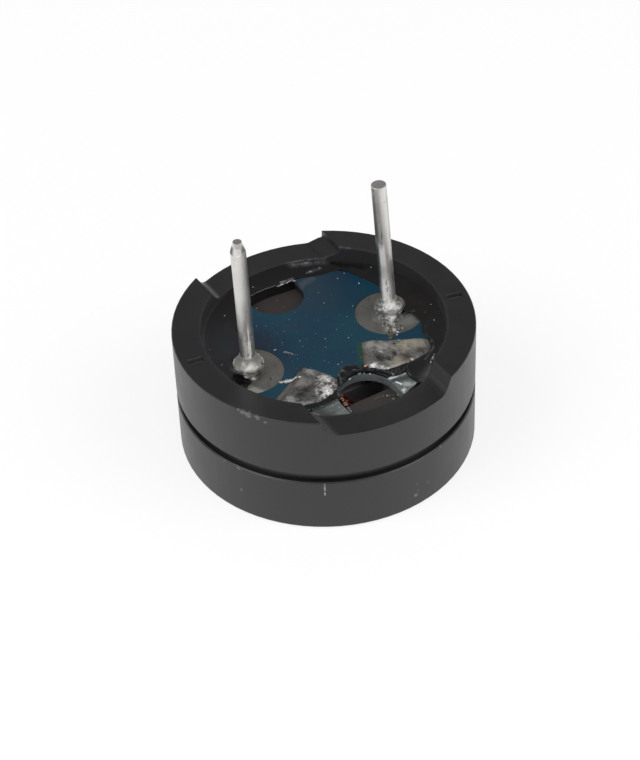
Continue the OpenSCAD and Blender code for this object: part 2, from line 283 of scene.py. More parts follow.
camera = add_object("camera", bpy.data.cameras.new("camera"))
bpy.context.scene.camera = camera
camera.data.lens = FOCAL
camera.data.sensor_width = SENSOR
camera.data.clip_start = DISTANCE * 0.1
camera.data.clip_end = 10
looking = placed(AROUND, math.pi / 2 - ABOVE, DISTANCE)
camera.matrix_world = Matrix.Translation(AIM) @ looking @ Matrix.Rotation(TILT, 4, "Z")
print("camera at", [round(c / MM, 2) for c in camera.matrix_world.translation])

# %% The floor shows white to the eye and to mirrors, and keeps the shadow
FLOOR_HALF = 3.0
FLOOR_DROP = 0.01 * MM
FLOOR_SHADOW = 0.3
FLOOR_GLOW = 1.1


def pale_floor():
    """Paper whose white comes partly from its own glow, seen by the camera, gloss and glass only."""
    finish = Finish("pale_paper")
    path = finish.add("ShaderNodeLightPath", out="Is Camera Ray")
    seen = path.larger(path.other("Is Glossy Ray")).larger(path.other("Is Transmission Ray"))
    paper = finish.mix(finish.noise(0.05, 4), shade(0.86), shade(0.9))
    lit = finish.add("ShaderNodeBsdfDiffuse", {"Color": paper})
    glow = finish.add("ShaderNodeEmission", {"Color": shade(1.0), "Strength": FLOOR_GLOW})
    both = finish.add("ShaderNodeMixShader", {0: seen * (1 - FLOOR_SHADOW), 1: lit, 2: glow})
    below = finish.add("ShaderNodeNewGeometry", out="Backfacing")
    clear = finish.add("ShaderNodeBsdfTransparent")
    shown = finish.add("ShaderNodeMixShader", {0: below, 1: both, 2: clear})
    finish.add("ShaderNodeOutputMaterial", {"Surface": shown})
    return finish.material


sides = ((-1, -1), (1, -1), (1, 1), (-1, 1))
corners = [(x * FLOOR_HALF, y * FLOOR_HALF, -FLOOR_DROP) for x, y in sides]
floor_mesh = bpy.data.meshes.new("floor")
floor_mesh.from_pydata(corners, [], [range(4)])
floor_mesh.materials.append(pale_floor())
add_object("floor", floor_mesh)
print(f"floor: {2 * FLOOR_HALF:.0f} m square, {FLOOR_DROP / MM:.2f} mm below the sound face")

# %% The room: pale at the horizon, dim overhead
ROOM_PALE, ROOM_DIM = 1.0, 0.2
PALE_BELOW, DIM_ABOVE = 0.2, 0.5

world = bpy.data.worlds.new("room")
world.use_nodes = True
bpy.context.scene.world = world
room = Graph(world.node_tree)
room.tree.nodes.clear()
way = room.add("ShaderNodeTexCoord", out="Generated")
height = room.add("ShaderNodeSeparateXYZ", {0: way}, "Z")
glow = height.fade(PALE_BELOW, DIM_ABOVE, ROOM_PALE, ROOM_DIM)
sky = room.add("ShaderNodeBackground", {"Color": shade(1.0), "Strength": glow})
room.add("ShaderNodeOutputWorld", {"Surface": sky})
print(f"room: {ROOM_PALE} at the horizon, {ROOM_DIM} overhead")

# %% Two soft panels and a small one
PANEL_FAR = 0.25


def panel(name, around, above, size, power):
    """A square soft light that faces the buzzer, placed by its angles from the camera's side."""
    lamp = bpy.data.lights.new(name, "AREA")
    lamp.shape = "SQUARE"
    lamp.size = size
    lamp.energy = power
    place = placed(AROUND + math.radians(around), math.radians(90 - above), PANEL_FAR)
    add_object(name, lamp).matrix_world = place
    print(f"{name}: {size} m wide, {power} W")


panel("left_panel", -62, 48, 0.16, 0.26)
panel("right_panel", 66, 44, 0.16, 0.2)
panel("front_panel", 6, 68, 0.08, 0.08)

bpy.context.scene.view_settings.view_transform = "Standard"

# %% [markdown]
# ## The moulded case
# Two shells of black plastic, pressed together. A moulding has no flat colour: the tool leaves a fine grain,
# handling leaves pale knocks and draws hair-fine lines, and dust settles on what points up. Pale lines along
# the rim's inner edge are painted highlights, and the groove and two shallow marks on the rim are darkened
# with painted shade. Inside the recess a brown film of resin and flux covers the floor.

# %% Knocks, painted highlights along the rim's edge, painted shade in two marks, and a scratch on the case
SCUFFS = (
    (-152.4, 5.4, 0.17), (-150, 5.36, 0.2), (-146.4, 5.36, 0.16), (-154.2, 5.42, 0.08), (-143, 5.2, 0.12),
    (-155.5, 1.2, 0.1), (-86.4, 0.62, 0.13), (-85.2, 0.8, 0.08), (-86, 1.2, 0.08), (-80.4, 0.95, 0.09),
    (-163, 2.34, 0.1), (-156, 2.3, 0.11), (-73.7, 2.34, 0.09),
)
SCUFF_R = 5.98
# Painted highlights along the rim's inner edge: (start, end, radius, strength).
RIM_EDGE_HIGHLIGHTS = (
    ((1.1, 4.76, 4.83), (2.6, 4.15, 4.83), 0.16, 0.2), ((1.35, 4.66, 4.83), (2.0, 4.42, 4.83), 0.12, 0.5),
    ((2.94, 3.87, 5.45), (3.4, 3.46, 5.45), 0.12, 0.3),
)
DIMPLES = (-16, 172)
DIMPLE_R = 5.45
SCRATCH_ANGLE = -122.2
SCRATCH_LOW, SCRATCH_HIGH = 1.72, 2.38


def knocks_and_edge_glints(finish):
    """Pale knocks on the case's wall and rim, and faint painted highlights along the rim's inner edge."""
    ragged = finish.noise(7, 4, 0.65).fade(0.36, 0.62)
    knocks_and_glints = 0.0
    for angle, z, radius in SCUFFS:
        knocks_and_glints = finish.near(polar(angle, SCUFF_R, z), radius, 0.9) + knocks_and_glints
    # Painted highlights along the rim's inner edge.
    for start, end, radius, strength in RIM_EDGE_HIGHLIGHTS:
        knocks_and_glints = finish.along(start, end, radius, 0.9) * strength + knocks_and_glints
    return knocks_and_glints.smaller(0.8) * ragged


def dimple_shade(finish):
    """Painted shade in the two shallow marks on the rim."""
    stain = 0.0
    for angle in DIMPLES:
        spot = finish.near(polar(angle, DIMPLE_R, RIM_Z), 0.42, 0.8)
        stain = spot * finish.noise(4, 3).fade(0.3, 0.5) + stain
    return stain


def scratch_on_wall(finish):
    """A short pale upright scratch on the sound cap's wall."""
    flat = finish.vector("MULTIPLY", finish.place, (1, 1, 0))
    away = finish.vector("DISTANCE", flat, polar(SCRATCH_ANGLE, CASE_R)).other("Value")
    wander = finish.noise(3, 2, 0.5, (0, 0, 1)) * 0.05
    line = (away + wander).fade(0.07, 0.035)
    band = finish.z.fade(SCRATCH_LOW, SCRATCH_LOW + 0.1) * finish.z.fade(SCRATCH_HIGH, SCRATCH_HIGH - 0.06)
    return line * band * finish.noise(12, 2).fade(0.35, 0.55)


print(f"marks on the case: {len(SCUFFS)} knocks, {len(RIM_EDGE_HIGHLIGHTS)} rubbed lines, {len(DIMPLES)} shaded_dimples")

# %% Black moulded plastic
NOTCH_CORNER = ((3.06, 3.8, 5.11), (3.06, 5.1, 5.11))


def moulded_black():
    finish = Finish("moulded_black")
    grain = finish.noise(26, 3, 0.6)
    cloud = finish.noise(0.9, 3)
    drag = finish.noise(5, 3, 0.6, (1, 1, 0.06))
    up = finish.upward().fade(0.6, 0.95)
    radius = finish.from_axis()
    sunk = radius.fade(RIM_IN + 0.02, RIM_IN - 0.05) * finish.z.fade(FLOOR_Z + 0.2, FLOOR_Z + 0.05)
    film = finish.mix(grain, shade(0.022, 0.017, 0.016), shade(0.045, 0.038, 0.036))
    dust = finish.noise(9, 4, 0.7).fade(0.62, 0.75) * up
    # Painted shade in the groove between the two shells.
    groove_shade = finish.z.fade(SKIRT_Z, SKIRT_Z - 0.03) * radius.fade(CASE_R - 0.05, CASE_R - 0.15)
    colour = finish.mix(cloud, shade(0.0085, 0.0083, 0.0098), shade(0.0115, 0.0113, 0.0135))
    # Over the plastic's own tones: dust, the floor's film, painted shade in the groove and in the two marks
    # on the rim, the scratch, and pale knocks together with painted highlights along the rim's inner edge.
    colour = finish.coats(
        colour, (dust * 0.5, shade(0.05, 0.05, 0.052)), (sunk, film), (groove_shade, shade(0.0055)),
        (dimple_shade(finish), shade(0.003)), (scratch_on_wall(finish), shade(0.32)),
        (knocks_and_edge_glints(finish), shade(0.2)),
    )
    inner_edge = radius.fade(RIM_IN + 0.09, RIM_IN + 0.04) * finish.z.fade(MASK_Z + 0.15, MASK_Z + 0.2)
    rough = 0.34 + 0.12 * cloud + 0.1 * (drag - 0.5) + 0.1 * dust + 0.25 * sunk - 0.07 * up
    rough = rough + 0.4 * inner_edge + 0.5 * finish.along(*NOTCH_CORNER, 0.1)
    normal = finish.bump(grain, 1.0, finish.bump(drag, 1.6))
    return finish.surface(Base_Color=colour, Roughness=rough, Normal=normal, IOR=1.57)


def dress(finish, *nodes):
    """Gives CAD nodes a finish."""
    for name in nodes:
        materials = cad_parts[name].data.materials
        materials.clear()
        materials.append(finish)
    print(f"{finish.name}, {len(finish.node_tree.nodes)} nodes: {', '.join(nodes)}")


dress(moulded_black(), "sound_cap", "base_case")

# %% [markdown]
# ## Finishes of the board
# The board is glass laminate with a dark blue lacquer over it. Where the lacquer is thin, beside the wire
# pads, it turns green.
# The pads are dipped in tin, which sets dull and cloudy. Cut laminate is pale and full of fibres.

# %% Blue lacquer
THIN_LACQUER = (1.02, -0.98), (0.5, -1.94)
SLOT_MIDDLE = (-0.1, -3.61)
FILM_ON_LACQUER = ((1.12, 3.5, 0.22), (1.35, 3.55, 0.26), (1.62, 3.6, 0.24), (0.98, 3.3, 0.12))


def blue_lacquer():
    finish = Finish("blue_lacquer")
    cloud = finish.noise(0.55, 3)
    blot = finish.noise(0.8, 3, 0.6)
    grime = finish.noise(3.2, 4, 0.65).fade(0.58, 0.75)
    thin = finish.along(*[(*end, MASK_Z) for end in THIN_LACQUER], 0.19, 0.9)
    stain = finish.near((-2.4, 1.3, MASK_Z), 1.6, 0.9)
    veil = finish.near((1.4, 3.0, MASK_Z), 2.4, 0.9)
    films = [finish.near((x, y, MASK_Z), size, 0.6) * 0.75 for x, y, size in FILM_ON_LACQUER]
    glued = finish.near((*SLOT_MIDDLE, MASK_Z), 1.62, 0.12)
    colour = finish.mix(cloud.fade(0.35, 0.65), shade(0.002, 0.036, 0.07), shade(0.003, 0.044, 0.072))
    colour = finish.coats(
        colour, (blot.fade(0.52, 0.7) * 0.6, shade(0.014, 0.026, 0.06)),
        (grime * 0.5, shade(0.014, 0.03, 0.042)), (thin * 0.8, shade(0.012, 0.055, 0.028)),
        (stain * 0.8, shade(0.008, 0.012, 0.026)),
        (veil * 0.6, shade(0.018, 0.036, 0.055)), *[(film, shade(0.06, 0.066, 0.08)) for film in films],
        (glued, shade(0.005, 0.007, 0.008)),
    )
    rough = 0.36 + 0.2 * grime + 0.12 * cloud - 0.16 * glued
    normal = finish.bump(finish.noise(4.5, 3, 0.6), 4.0)
    return finish.surface(Base_Color=colour, Roughness=rough, Normal=normal, IOR=1.41)


dress(blue_lacquer(), "solder_mask")

# %% Bare glass laminate
SLOT_HALF = 1.15
# Painted highlights: pale streaks on the bare laminate, each (start, end, radius, tone).
LAMINATE_HIGHLIGHTS = (
    ((0.92, -3.36), (1.6, -3.42), 0.09, 0.75), ((1.0, -3.68), (1.12, -3.9), 0.06, 0.8),
    ((0.98, -4.2), (0.94, -4.5), 0.08, 0.85), ((1.25, -4.0), (1.55, -4.2), 0.2, 0.4),
    ((-1.4, -3.75), (-1.35, -4.3), 0.07, 0.5),
)


def glass_laminate():
    finish = Finish("glass_laminate")
    fibres = finish.noise(6, 3, 0.6, (0.35, 1.8, 1))
    chips = finish.noise(4, 4, 0.7)
    patch = finish.noise(1.6, 3, 0.6).fade(0.42, 0.6)
    ragged = finish.noise(5, 3, 0.6).fade(0.3, 0.5)
    grey = finish.near((-2.45, -3.75, LAMINATE_Z), 0.75, 0.7)
    shadow = finish.along((0.95, -3.56, LAMINATE_Z), (1.5, -3.7, LAMINATE_Z), 0.16, 0.7)
    colour = finish.mix(fibres, shade(0.05, 0.062, 0.06), shade(0.17, 0.2, 0.19))
    colour = finish.coats(
        colour, (patch * 0.6, shade(0.24, 0.28, 0.27)), (chips.fade(0.56, 0.68), shade(0.33, 0.37, 0.37)),
        (grey * 0.8, shade(0.03, 0.033, 0.034)), (shadow * 0.8, shade(0.035, 0.038, 0.042)),
    )
    for start, end, radius, tone in LAMINATE_HIGHLIGHTS:
        laminate_highlight = finish.along((*start, LAMINATE_Z), (*end, LAMINATE_Z), radius, 0.8) * ragged
        colour = finish.mix(laminate_highlight, colour, shade(tone * 0.97, tone, tone))
    # A painted highlight along the arch's upper edge.
    arch = finish.vector("DISTANCE", finish.place, (*SLOT_MIDDLE, LAMINATE_Z)).other("Value")
    arch = arch.fade(SLOT_HALF + 0.09, SLOT_HALF + 0.02) * finish.y.fade(-3.3, -2.8) * ragged
    cut = finish.z.fade(LAMINATE_Z - 0.02, LAMINATE_Z - 0.06)
    wall = finish.mix(chips, shade(0.05, 0.058, 0.06), shade(0.24, 0.27, 0.27))
    # The cut wall at the rear of the board is painted darker.
    rear_wall_darker = cut * finish.y.fade(1.0, 1.5)
    colour = finish.coats(
        colour, (arch * 0.7, shade(0.3, 0.32, 0.33)), (cut, wall), (rear_wall_darker, shade(0.016, 0.015, 0.022)),
    )
    rough = 0.2 + 0.4 * chips
    normal = finish.bump(fibres + chips, 14.0)
    return finish.surface(Base_Color=colour, Roughness=rough, Normal=normal, IOR=1.55)


dress(glass_laminate(), "circuit_board")

# %% Tinned copper of the pads
WORN_EDGE = (1.12, -1.14), (0.58, -2.02)
DIPPED = (
    ((2.5, -0.86), (2.75, -0.75), 0.3, 0.34), ((2.8, -0.5), (3.6, -0.9), 0.5, 0.22),
    ((-4.0, -0.7), (-3.7, -1.3), 0.26, 0.36), ((-3.0, 0.62), (-2.66, 0.42), 0.14, 0.36),
)


def tinned_copper():
    finish = Finish("tinned_copper")
    cloud = finish.noise(1.6, 4, 0.6)
    grain = finish.noise(16, 3, 0.6)
    stain = finish.noise(2.6, 4, 0.7).fade(0.52, 0.72)
    colour = finish.mix(cloud, shade(0.16, 0.152, 0.14), shade(0.3, 0.29, 0.265))
    colour = finish.mix(stain * 0.6, colour, shade(0.12, 0.1, 0.075))
    edge_line = finish.along(*[(*end, COPPER_Z) for end in WORN_EDGE], 0.09)
    worn = edge_line * stain.fade(0.0, 0.4, 0.4, 1.0) + finish.z.fade(COPPER_Z - 0.004, COPPER_Z - 0.012)
    metal = 0.85
    for start, end, radius, tone in DIPPED:
        dipped = finish.along((*start, COPPER_Z), (*end, COPPER_Z), radius, 0.9) * cloud.fade(0.35, 0.5)
        colour = finish.mix(dipped, colour, shade(tone, tone, tone * 0.93))
        metal = metal - 0.5 * dipped
    colour = finish.mix(worn, colour, shade(0.2, 0.12, 0.07))
    rough = 0.44 + 0.2 * cloud + 0.12 * stain
    normal = finish.bump(grain, 2.5, finish.bump(cloud, 10.0))
    return finish.surface(Base_Color=colour, Roughness=rough, Metallic=metal, Normal=normal)


dress(tinned_copper(), "copper_left", "copper_right")

# %% [markdown]
# ## Pins
# A pin is drawn wire, dipped in tin. Drawing leaves faint lines along it and the dip leaves a soft ripple.
# Upright bands of painted highlight and painted shade, each on the side of the pin that faces one way, run
# up and down it and wander a little. The cutter left the end faces darker than the sides.

# %% Tinned wire
# Bands of painted highlight (tones near 1) and painted shade (low tones) round each pin.
LEFT_LIGHT_AND_SHADE = [
    (-30, 62, 6.6, 11.0, 0.6), (-30, 34, 6.6, 11.0, 0.44), (-30, 34, 4.9, 6.9, 0.2),
    (150, 18, 5.0, 10.3, 0.22), (160, 50, 4.9, 6.9, 0.07), (-72, 20, 4.9, 6.7, 0.24),
    (-97, 7, 5.0, 7.3, 0.95), (160, 36, 10.34, 10.8, 0.02), (-62, 28, 10.4, 10.8, 0.06),
    (-112, 44, 10.66, 10.96, 0.42), (-120, 12, 10.36, 10.66, 0.95),
]
RIGHT_LIGHT_AND_SHADE = [
    (150, 44, 8.0, 11.0, 0.12), (150, 34, 4.9, 8.4, 0.12), (-134, 14, 7.4, 11.2, 0.62),
    (-143, 5, 7.8, 10.1, 0.85), (-122, 4, 8.1, 9.0, 0.2), (-30, 26, 6.8, 10.9, 0.36),
    (-136, 22, 6.7, 8.5, 0.95), (-60, 28, 4.9, 7.7, 0.3), (-134, 22, 4.8, 7.1, 0.95),
    (-64, 7, 5.2, 7.5, 0.1), (-122, 5, 5.6, 6.6, 0.25), (165, 30, 10.64, 10.86, 0.16),
]


def tinned_wire(name, painted_bands):
    """A streak is a band of painted light, a highlight when its tone is high and a shade when low: (which
    way it faces, half width in degrees, lowest z, highest z, tone).
    """
    finish = Finish(name)
    drawn = finish.noise(7, 3, 0.6, (1, 1, 0.12))
    ripple = finish.noise(1.5, 3, 0.5, (1, 1, 0.6))
    pits = finish.noise(7, 4, 0.75).fade(0.6, 0.7)
    splash = finish.noise(8, 4, 0.7) * finish.z.fade(7.6, 5.8)
    splashed = splash.fade(0.3, 0.45)
    colour = finish.mix(ripple, shade(0.6, 0.59, 0.57), shade(0.85, 0.84, 0.81))
    colour = finish.mix(splashed * 0.6, colour, shade(0.9, 0.89, 0.86))
    metal = 1.0 - 0.45 * splashed
    ends = (finish.noise(5, 3, 0.6) - 0.5) * 0.7
    for toward, wide, low, high, tone in painted_bands:
        edges = [math.cos(math.radians(min(wide * share, 175))) for share in (1.45, 0.55)]
        facing = finish.vector("DOT_PRODUCT", finish.normal(), polar(toward, 1)).other("Value")
        band = (facing + 0.14 * (drawn - 0.5)).fade(*edges)
        soft = min(0.6, (high - low) / 3)
        level = finish.z + ends * min(1.0, high - low)
        band = band * level.fade(low, low + soft) * level.fade(high, high - soft)
        colour = finish.mix(band * 0.85, colour, shade(tone, tone * 0.98, tone * 0.95))
        metal = metal - 0.6 * band if tone > 0.9 else metal
    burnt = finish.noise(9, 4, 0.75).fade(0.56, 0.64) * finish.z.fade(7.0, 5.6)
    end = finish.upward().fade(0.55, 0.7) * finish.z.fade(RIM_Z + 2, RIM_Z + 3)
    cut = finish.mix(ripple, shade(0.38, 0.37, 0.34), shade(0.55, 0.54, 0.51))
    colour = finish.coats(
        colour, (drawn.fade(0.55, 0.75) * 0.4, shade(0.3, 0.29, 0.28)),
        ((pits * 0.5 + burnt * 0.7).smaller(1.0), shade(0.12, 0.115, 0.1)), (end, cut),
    )
    rough = 0.34 + 0.16 * ripple + 0.1 * pits + 0.1 * end
    normal = finish.bump(drawn, 6.0, finish.bump(ripple, 22.0, finish.bump(splash, 26.0)))
    return finish.surface(Base_Color=colour, Roughness=rough, Metallic=metal, Normal=normal)


dress(tinned_wire("tinned_wire_left", LEFT_LIGHT_AND_SHADE), "pin_left")
dress(tinned_wire("tinned_wire_right", RIGHT_LIGHT_AND_SHADE), "pin_right")

# %% [markdown]
# ## The hidden drive
# The magnet, pole, yoke and spring-steel diaphragm sit inside the case. Only a sliver of yoke shows
# through the wire slot, and the diaphragm through the sound hole, but each gets its own finish. They
# are simple ones, so one function makes them all: two shades, mixed by noise.

# %% Iron, ferrite and spring steel
def mottled(name, grain, dark, pale, rough, edges=None, bump=None, glint=None, alpha=None, **more):
    """Two shades mixed by noise. Rough is (least, what the noise adds), glint (noise, edges, shade)."""
    finish = Finish(name)
    cloud = finish.noise(*grain)
    colour = finish.mix(cloud.fade(*edges) if edges else cloud, dark, pale)
    if glint:
        spots, between, spark = glint
        colour = finish.mix(finish.noise(*spots).fade(*between), colour, spark)
    if bump:
        more["Normal"] = finish.bump(cloud, bump)
    if alpha:
        more["Alpha"] = cloud.fade(*alpha)
    return finish.surface(Base_Color=colour, Roughness=rough[0] + rough[1] * cloud, **more)


dark, pale = shade(0.34, 0.345, 0.35), shade(0.5, 0.51, 0.52)
iron = mottled("plated_iron", (11, 3), dark, pale, (0.35, 0.2), Metallic=1.0)
dress(iron, "yoke_plate", "pole_core", "armature_disc")
dark, pale = shade(0.035, 0.033, 0.033), shade(0.085, 0.08, 0.078)
dress(mottled("ground_ferrite", (14, 4, 0.7), dark, pale, (0.6, 0.2), bump=4.0), "magnet_ring")
dark, pale = shade(0.5, 0.51, 0.52), shade(0.68, 0.69, 0.7)
brushed = (8, 3, 0.6, (0.15, 2.5, 1))
dress(mottled("spring_steel", brushed, dark, pale, (0.25, 0.15), Metallic=1.0), "diaphragm")

# %% [markdown]
# ## From points to a piece
# New shapes come from rings: a closed loop of points is drawn at several levels, each ring is joined
# to the next, and the two ends are closed. That suits everything that was liquid once: solder round
# a pin, resin along a rim. Normals are recalculated while the shell is closed, so that they point out.

# %% Rings into a closed skin
def skin(rings):
    """Joins rings of equal length, each to the next, and closes both ends: points and faces."""
    count = len(rings[0])
    points = [point for ring in rings for point in ring]
    faces = []
    for low in range(0, (len(rings) - 1) * count, count):
        for i in range(count):
            j = (i + 1) % count
            faces.append((low + i, low + j, low + count + j, low + count + i))
    faces.append(tuple(range(count)))
    faces.append(tuple(range(len(points) - count, len(points))))
    return points, faces


def put(name, mesh, finish, crease=50):
    """Makes a mesh in millimetres a piece of the buzzer, which rides on its only body."""
    shell = bmesh.new()
    shell.from_mesh(mesh)
    bmesh.ops.remove_doubles(shell, verts=shell.verts, dist=1e-5)
    bmesh.ops.recalc_face_normals(shell, faces=shell.faces)
    bmesh.ops.scale(shell, vec=(MM, MM, MM), verts=shell.verts)
    shell.to_mesh(mesh)
    shell.free()
    mesh.shade_smooth()
    mesh.set_sharp_from_angle(angle=math.radians(crease))
    mesh.materials.clear()
    mesh.materials.append(finish)
    piece = add_object(name, mesh)
    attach(piece, "root")
    print(f"{name}: {len(mesh.polygons)} faces")
    return piece


def put_rings(name, rings, finish):
    """Rings of (x, y, z), or of (x, y, z, depth) where the finish reads how thick the skin is."""
    points, faces = skin(rings)
    table = np.array(points, float)
    mesh = bpy.data.meshes.new(name)
    mesh.from_pydata(table[:, :3].tolist(), [], faces)
    if table.shape[1] > 3:
        mesh.attributes.new("depth", "FLOAT", "POINT").data.foreach_set("value", table[:, 3])
    return put(name, mesh, finish)


def rough_at(x, y, z, cells, octaves=3):
    """Fractal noise from about -1 to 1, with that many cells to the millimetre."""
    return noise.fractal(Vector((x, y, z)) * cells, 0.8, 2.1, octaves)


# %% [markdown]
# ## Solder
# Solder sets with a skin: smooth and bright where it flowed, grainy and grey where it was disturbed, and
# brown to black where flux burned on it. The finish mixes the three by noise, and by named places: some are
# the solder's own tones and burnt flux, the near-white ones are painted highlights and glints, and some dark
# ones are painted shade.

# %% Colours of solder, and the two levels of a pin's foot
FLANGE_Z = LAMINATE_Z + 0.35
ROOT_Z = FLANGE_Z + 0.15
# Two near-white colours paint highlights and glints, a shaded grey paints a pin's shadow, and the burnt
# colour serves both burnt flux and painted shade.
SCORCH_AND_SHADE = shade(0.016, 0.014, 0.012)
BROWN = shade(0.075, 0.063, 0.045)
SHADED_GREY = shade(0.12, 0.117, 0.105)
GREY = shade(0.3, 0.295, 0.275)
PAD_GREY = shade(0.1, 0.1, 0.094)
SOFT_GREY = shade(0.21, 0.205, 0.19)
CHALK = shade(0.29, 0.28, 0.255)
CREAM = shade(0.33, 0.295, 0.24)
GLINT_WHITE = shade(0.85, 0.84, 0.81)
HIGHLIGHT_WHITE = shade(0.74, 0.73, 0.7)
print(f"a pin's flange starts at z {FLANGE_Z:.2f}, its wire at z {ROOT_Z:.2f}")


# %% Rough solder
def hand_solder(name, marks=(), tone=0.4, coarse=20.0, foot=None):
    """A mark is (x, y, z, radius, colour). Tone is how pale the rest is, coarse how deep its grain.

    Round a pin, foot is where the pin stands on the X axis: the disc's edge is rough there, and darkened
    with painted shade.
    """
    finish = Finish(name)
    cloud = finish.noise(1.8, 4, 0.6)
    grain = finish.noise(11, 4, 0.7)
    spark = finish.noise(7, 3, 0.6).fade(0.5, 0.58)
    glitter = finish.noise(8, 4, 0.75).fade(0.44, 0.54, 0.4, 1.0)
    pit = finish.noise(5.5, 4, 0.7).fade(0.52, 0.6) * finish.noise(1.1, 2).fade(0.42, 0.58)
    colour = finish.mix(cloud, shade(tone * 0.5), shade(tone, tone * 0.98, tone * 0.92))
    colour = finish.mix(pit * 0.6, colour, shade(tone * 0.15))
    rough = 0.42 + 0.25 * grain
    metal = 1.0
    torn = (finish.noise(4, 4, 0.7) - 0.5) * 2.2
    # Marks in the near-white colours are painted highlights and glints; dark marks are partly burnt flux and
    # partly painted shade.
    for x, y, z, radius, paint in marks:
        spot = finish.near((x, y, z), radius, 0.8, torn * min(radius, 0.4))
        if paint is GLINT_WHITE:
            spot = spot * glitter
            halo = finish.near((x, y, z), radius * 1.8, 0.8) * spark
            scorched = (spot * pit * 0.8, shade(0.1, 0.085, 0.07))
            colour = finish.coats(colour, (halo, paint), (spot, paint), scorched)
            rough = rough - 0.14 * spot
        else:
            colour = finish.mix(spot, colour, paint)
        metal = metal - 0.7 * spot
    if foot is not None:
        # The disc's edge: darker, as painted shade, and rougher.
        rim = finish.from_axis(foot).fade(FLANGE_R - 0.05, FLANGE_R)
        rim = rim * finish.z.fade(FLANGE_Z, FLANGE_Z + 0.06)
        colour = finish.mix(rim * 0.6, colour, shade(0.1, 0.098, 0.09))
        rough = rough + 0.3 * rim
    normal = finish.bump(grain, coarse, finish.bump(cloud, 30.0))
    return finish.surface(Base_Color=colour, Roughness=rough, Metallic=metal, Normal=normal)


# %% [markdown]
# ## Solder round the pins
# Each pin stands on a small flange. Seen from above a solder collar is a ring whose radius depends
# on the height and on the direction, so one function gives every ring: a profile for the height,
# and a few swellings, each with its own direction and level.

# %% A collar of solder
AROUND_PIN = 96
PIN_LEVELS = 44
PROFILE_POINTS = 60


def collar(centre, profile, swellings, wobble):
    """Rings round a pin. Profile is (z, radius) pairs; a swelling is (angle, z, wide, high, out)."""
    heights = [z for z, r in profile]
    radii = [r for z, r in profile]
    rings = []
    for z in np.linspace(heights[0], heights[-1], PIN_LEVELS):
        base = float(np.interp(z, heights, radii))
        ring = []
        for i in range(AROUND_PIN):
            angle = 2 * math.pi * i / AROUND_PIN
            out = base
            for toward, level, wide, high, more in swellings:
                off = math.degrees(math.remainder(angle - math.radians(toward), 2 * math.pi))
                out += more * math.exp(-((off / wide) ** 2) - ((z - level) / high) ** 2)
            x, y = centre + out * math.cos(angle), out * math.sin(angle)
            out *= 1 + wobble * rough_at(x, y, z, 4)
            ring.append((centre + out * math.cos(angle), out * math.sin(angle), z))
        rings.append(ring)
    return rings


def smoothed(values, rounds):
    """The values with their corners rounded. The first and the last stay."""
    values = np.array(values, float)
    for _ in range(rounds):
        values[1:-1] = (values[:-2] + 2 * values[1:-1] + values[2:]) / 4
    return values


def smooth_profile(profile):
    """A profile with its corners rounded."""
    z, r = np.array(profile, float).T
    even = np.linspace(z[0], z[-1], PROFILE_POINTS)
    return list(zip(even, smoothed(np.interp(even, z, r), 3)))


# %% The two collars, each with its own profile, swellings and marks
LEFT_PROFILE = [
    (COPPER_Z, 0.5), (COPPER_Z + 0.05, 0.4), (FLANGE_Z - 0.1, 0.4), (FLANGE_Z - 0.03, 0.54),
    (FLANGE_Z + 0.02, 0.605), (ROOT_Z - 0.05, 0.608), (ROOT_Z, 0.6), (ROOT_Z + 0.03, 0.55),
    (ROOT_Z + 0.1, 0.46), (ROOT_Z + 0.22, 0.39), (ROOT_Z + 0.42, 0.345),
]
LEFT_SWELLINGS = [
    (-128, COPPER_Z + 0.13, 20, 0.08, 0.16), (-95, COPPER_Z + 0.04, 14, 0.06, 0.08),
    (20, FLANGE_Z + 0.14, 8, 0.05, 0.05), (-80, FLANGE_Z + 0.14, 30, 0.08, 0.03),
    (-120, ROOT_Z + 0.14, 36, 0.14, 0.08),
]
# Among the marks, the white and bright ones are painted highlights and glints, the shaded grey one at the
# rear right is the pin's painted shadow, and the burnt ones under the disc are painted shade.
LEFT_MARKS = [
    (0.0, 0.0, ROOT_Z, 2.4, CHALK), (0.3, 0.35, ROOT_Z, 0.5, SHADED_GREY),
    (-0.16, -0.34, ROOT_Z + 0.06, 0.34, HIGHLIGHT_WHITE), (0.56, 0.2, ROOT_Z, 0.09, GLINT_WHITE),
    (0.3, -0.45, COPPER_Z + 0.1, 0.4, SCORCH_AND_SHADE), (-0.5, -0.2, COPPER_Z + 0.1, 0.3, SCORCH_AND_SHADE),
    (-0.33, -0.36, COPPER_Z + 0.14, 0.13, GLINT_WHITE), (-0.1, -0.52, COPPER_Z + 0.06, 0.08, GLINT_WHITE),
    (0.42, -0.42, ROOT_Z, 0.14, SCORCH_AND_SHADE), (0.08, -0.6, FLANGE_Z + 0.04, 0.16, BROWN),
]
RIGHT_PROFILE = [
    (COPPER_Z, 0.58), (COPPER_Z + 0.06, 0.5), (FLANGE_Z - 0.1, 0.48), (FLANGE_Z - 0.01, 0.58),
    (FLANGE_Z + 0.06, 0.61), (ROOT_Z, 0.605), (ROOT_Z + 0.05, 0.55), (ROOT_Z + 0.16, 0.43),
    (ROOT_Z + 0.36, 0.34),
]
RIGHT_SWELLINGS = [
    (-15, FLANGE_Z + 0.1, 30, 0.12, 0.07), (-112, ROOT_Z + 0.14, 30, 0.16, 0.13),
    (-106, COPPER_Z + 0.2, 20, 0.14, 0.2), (-112, COPPER_Z, 11, 0.06, 0.5),
    (-140, COPPER_Z + 0.02, 60, 0.2, 0.14), (160, COPPER_Z + 0.02, 50, 0.2, 0.14),
]
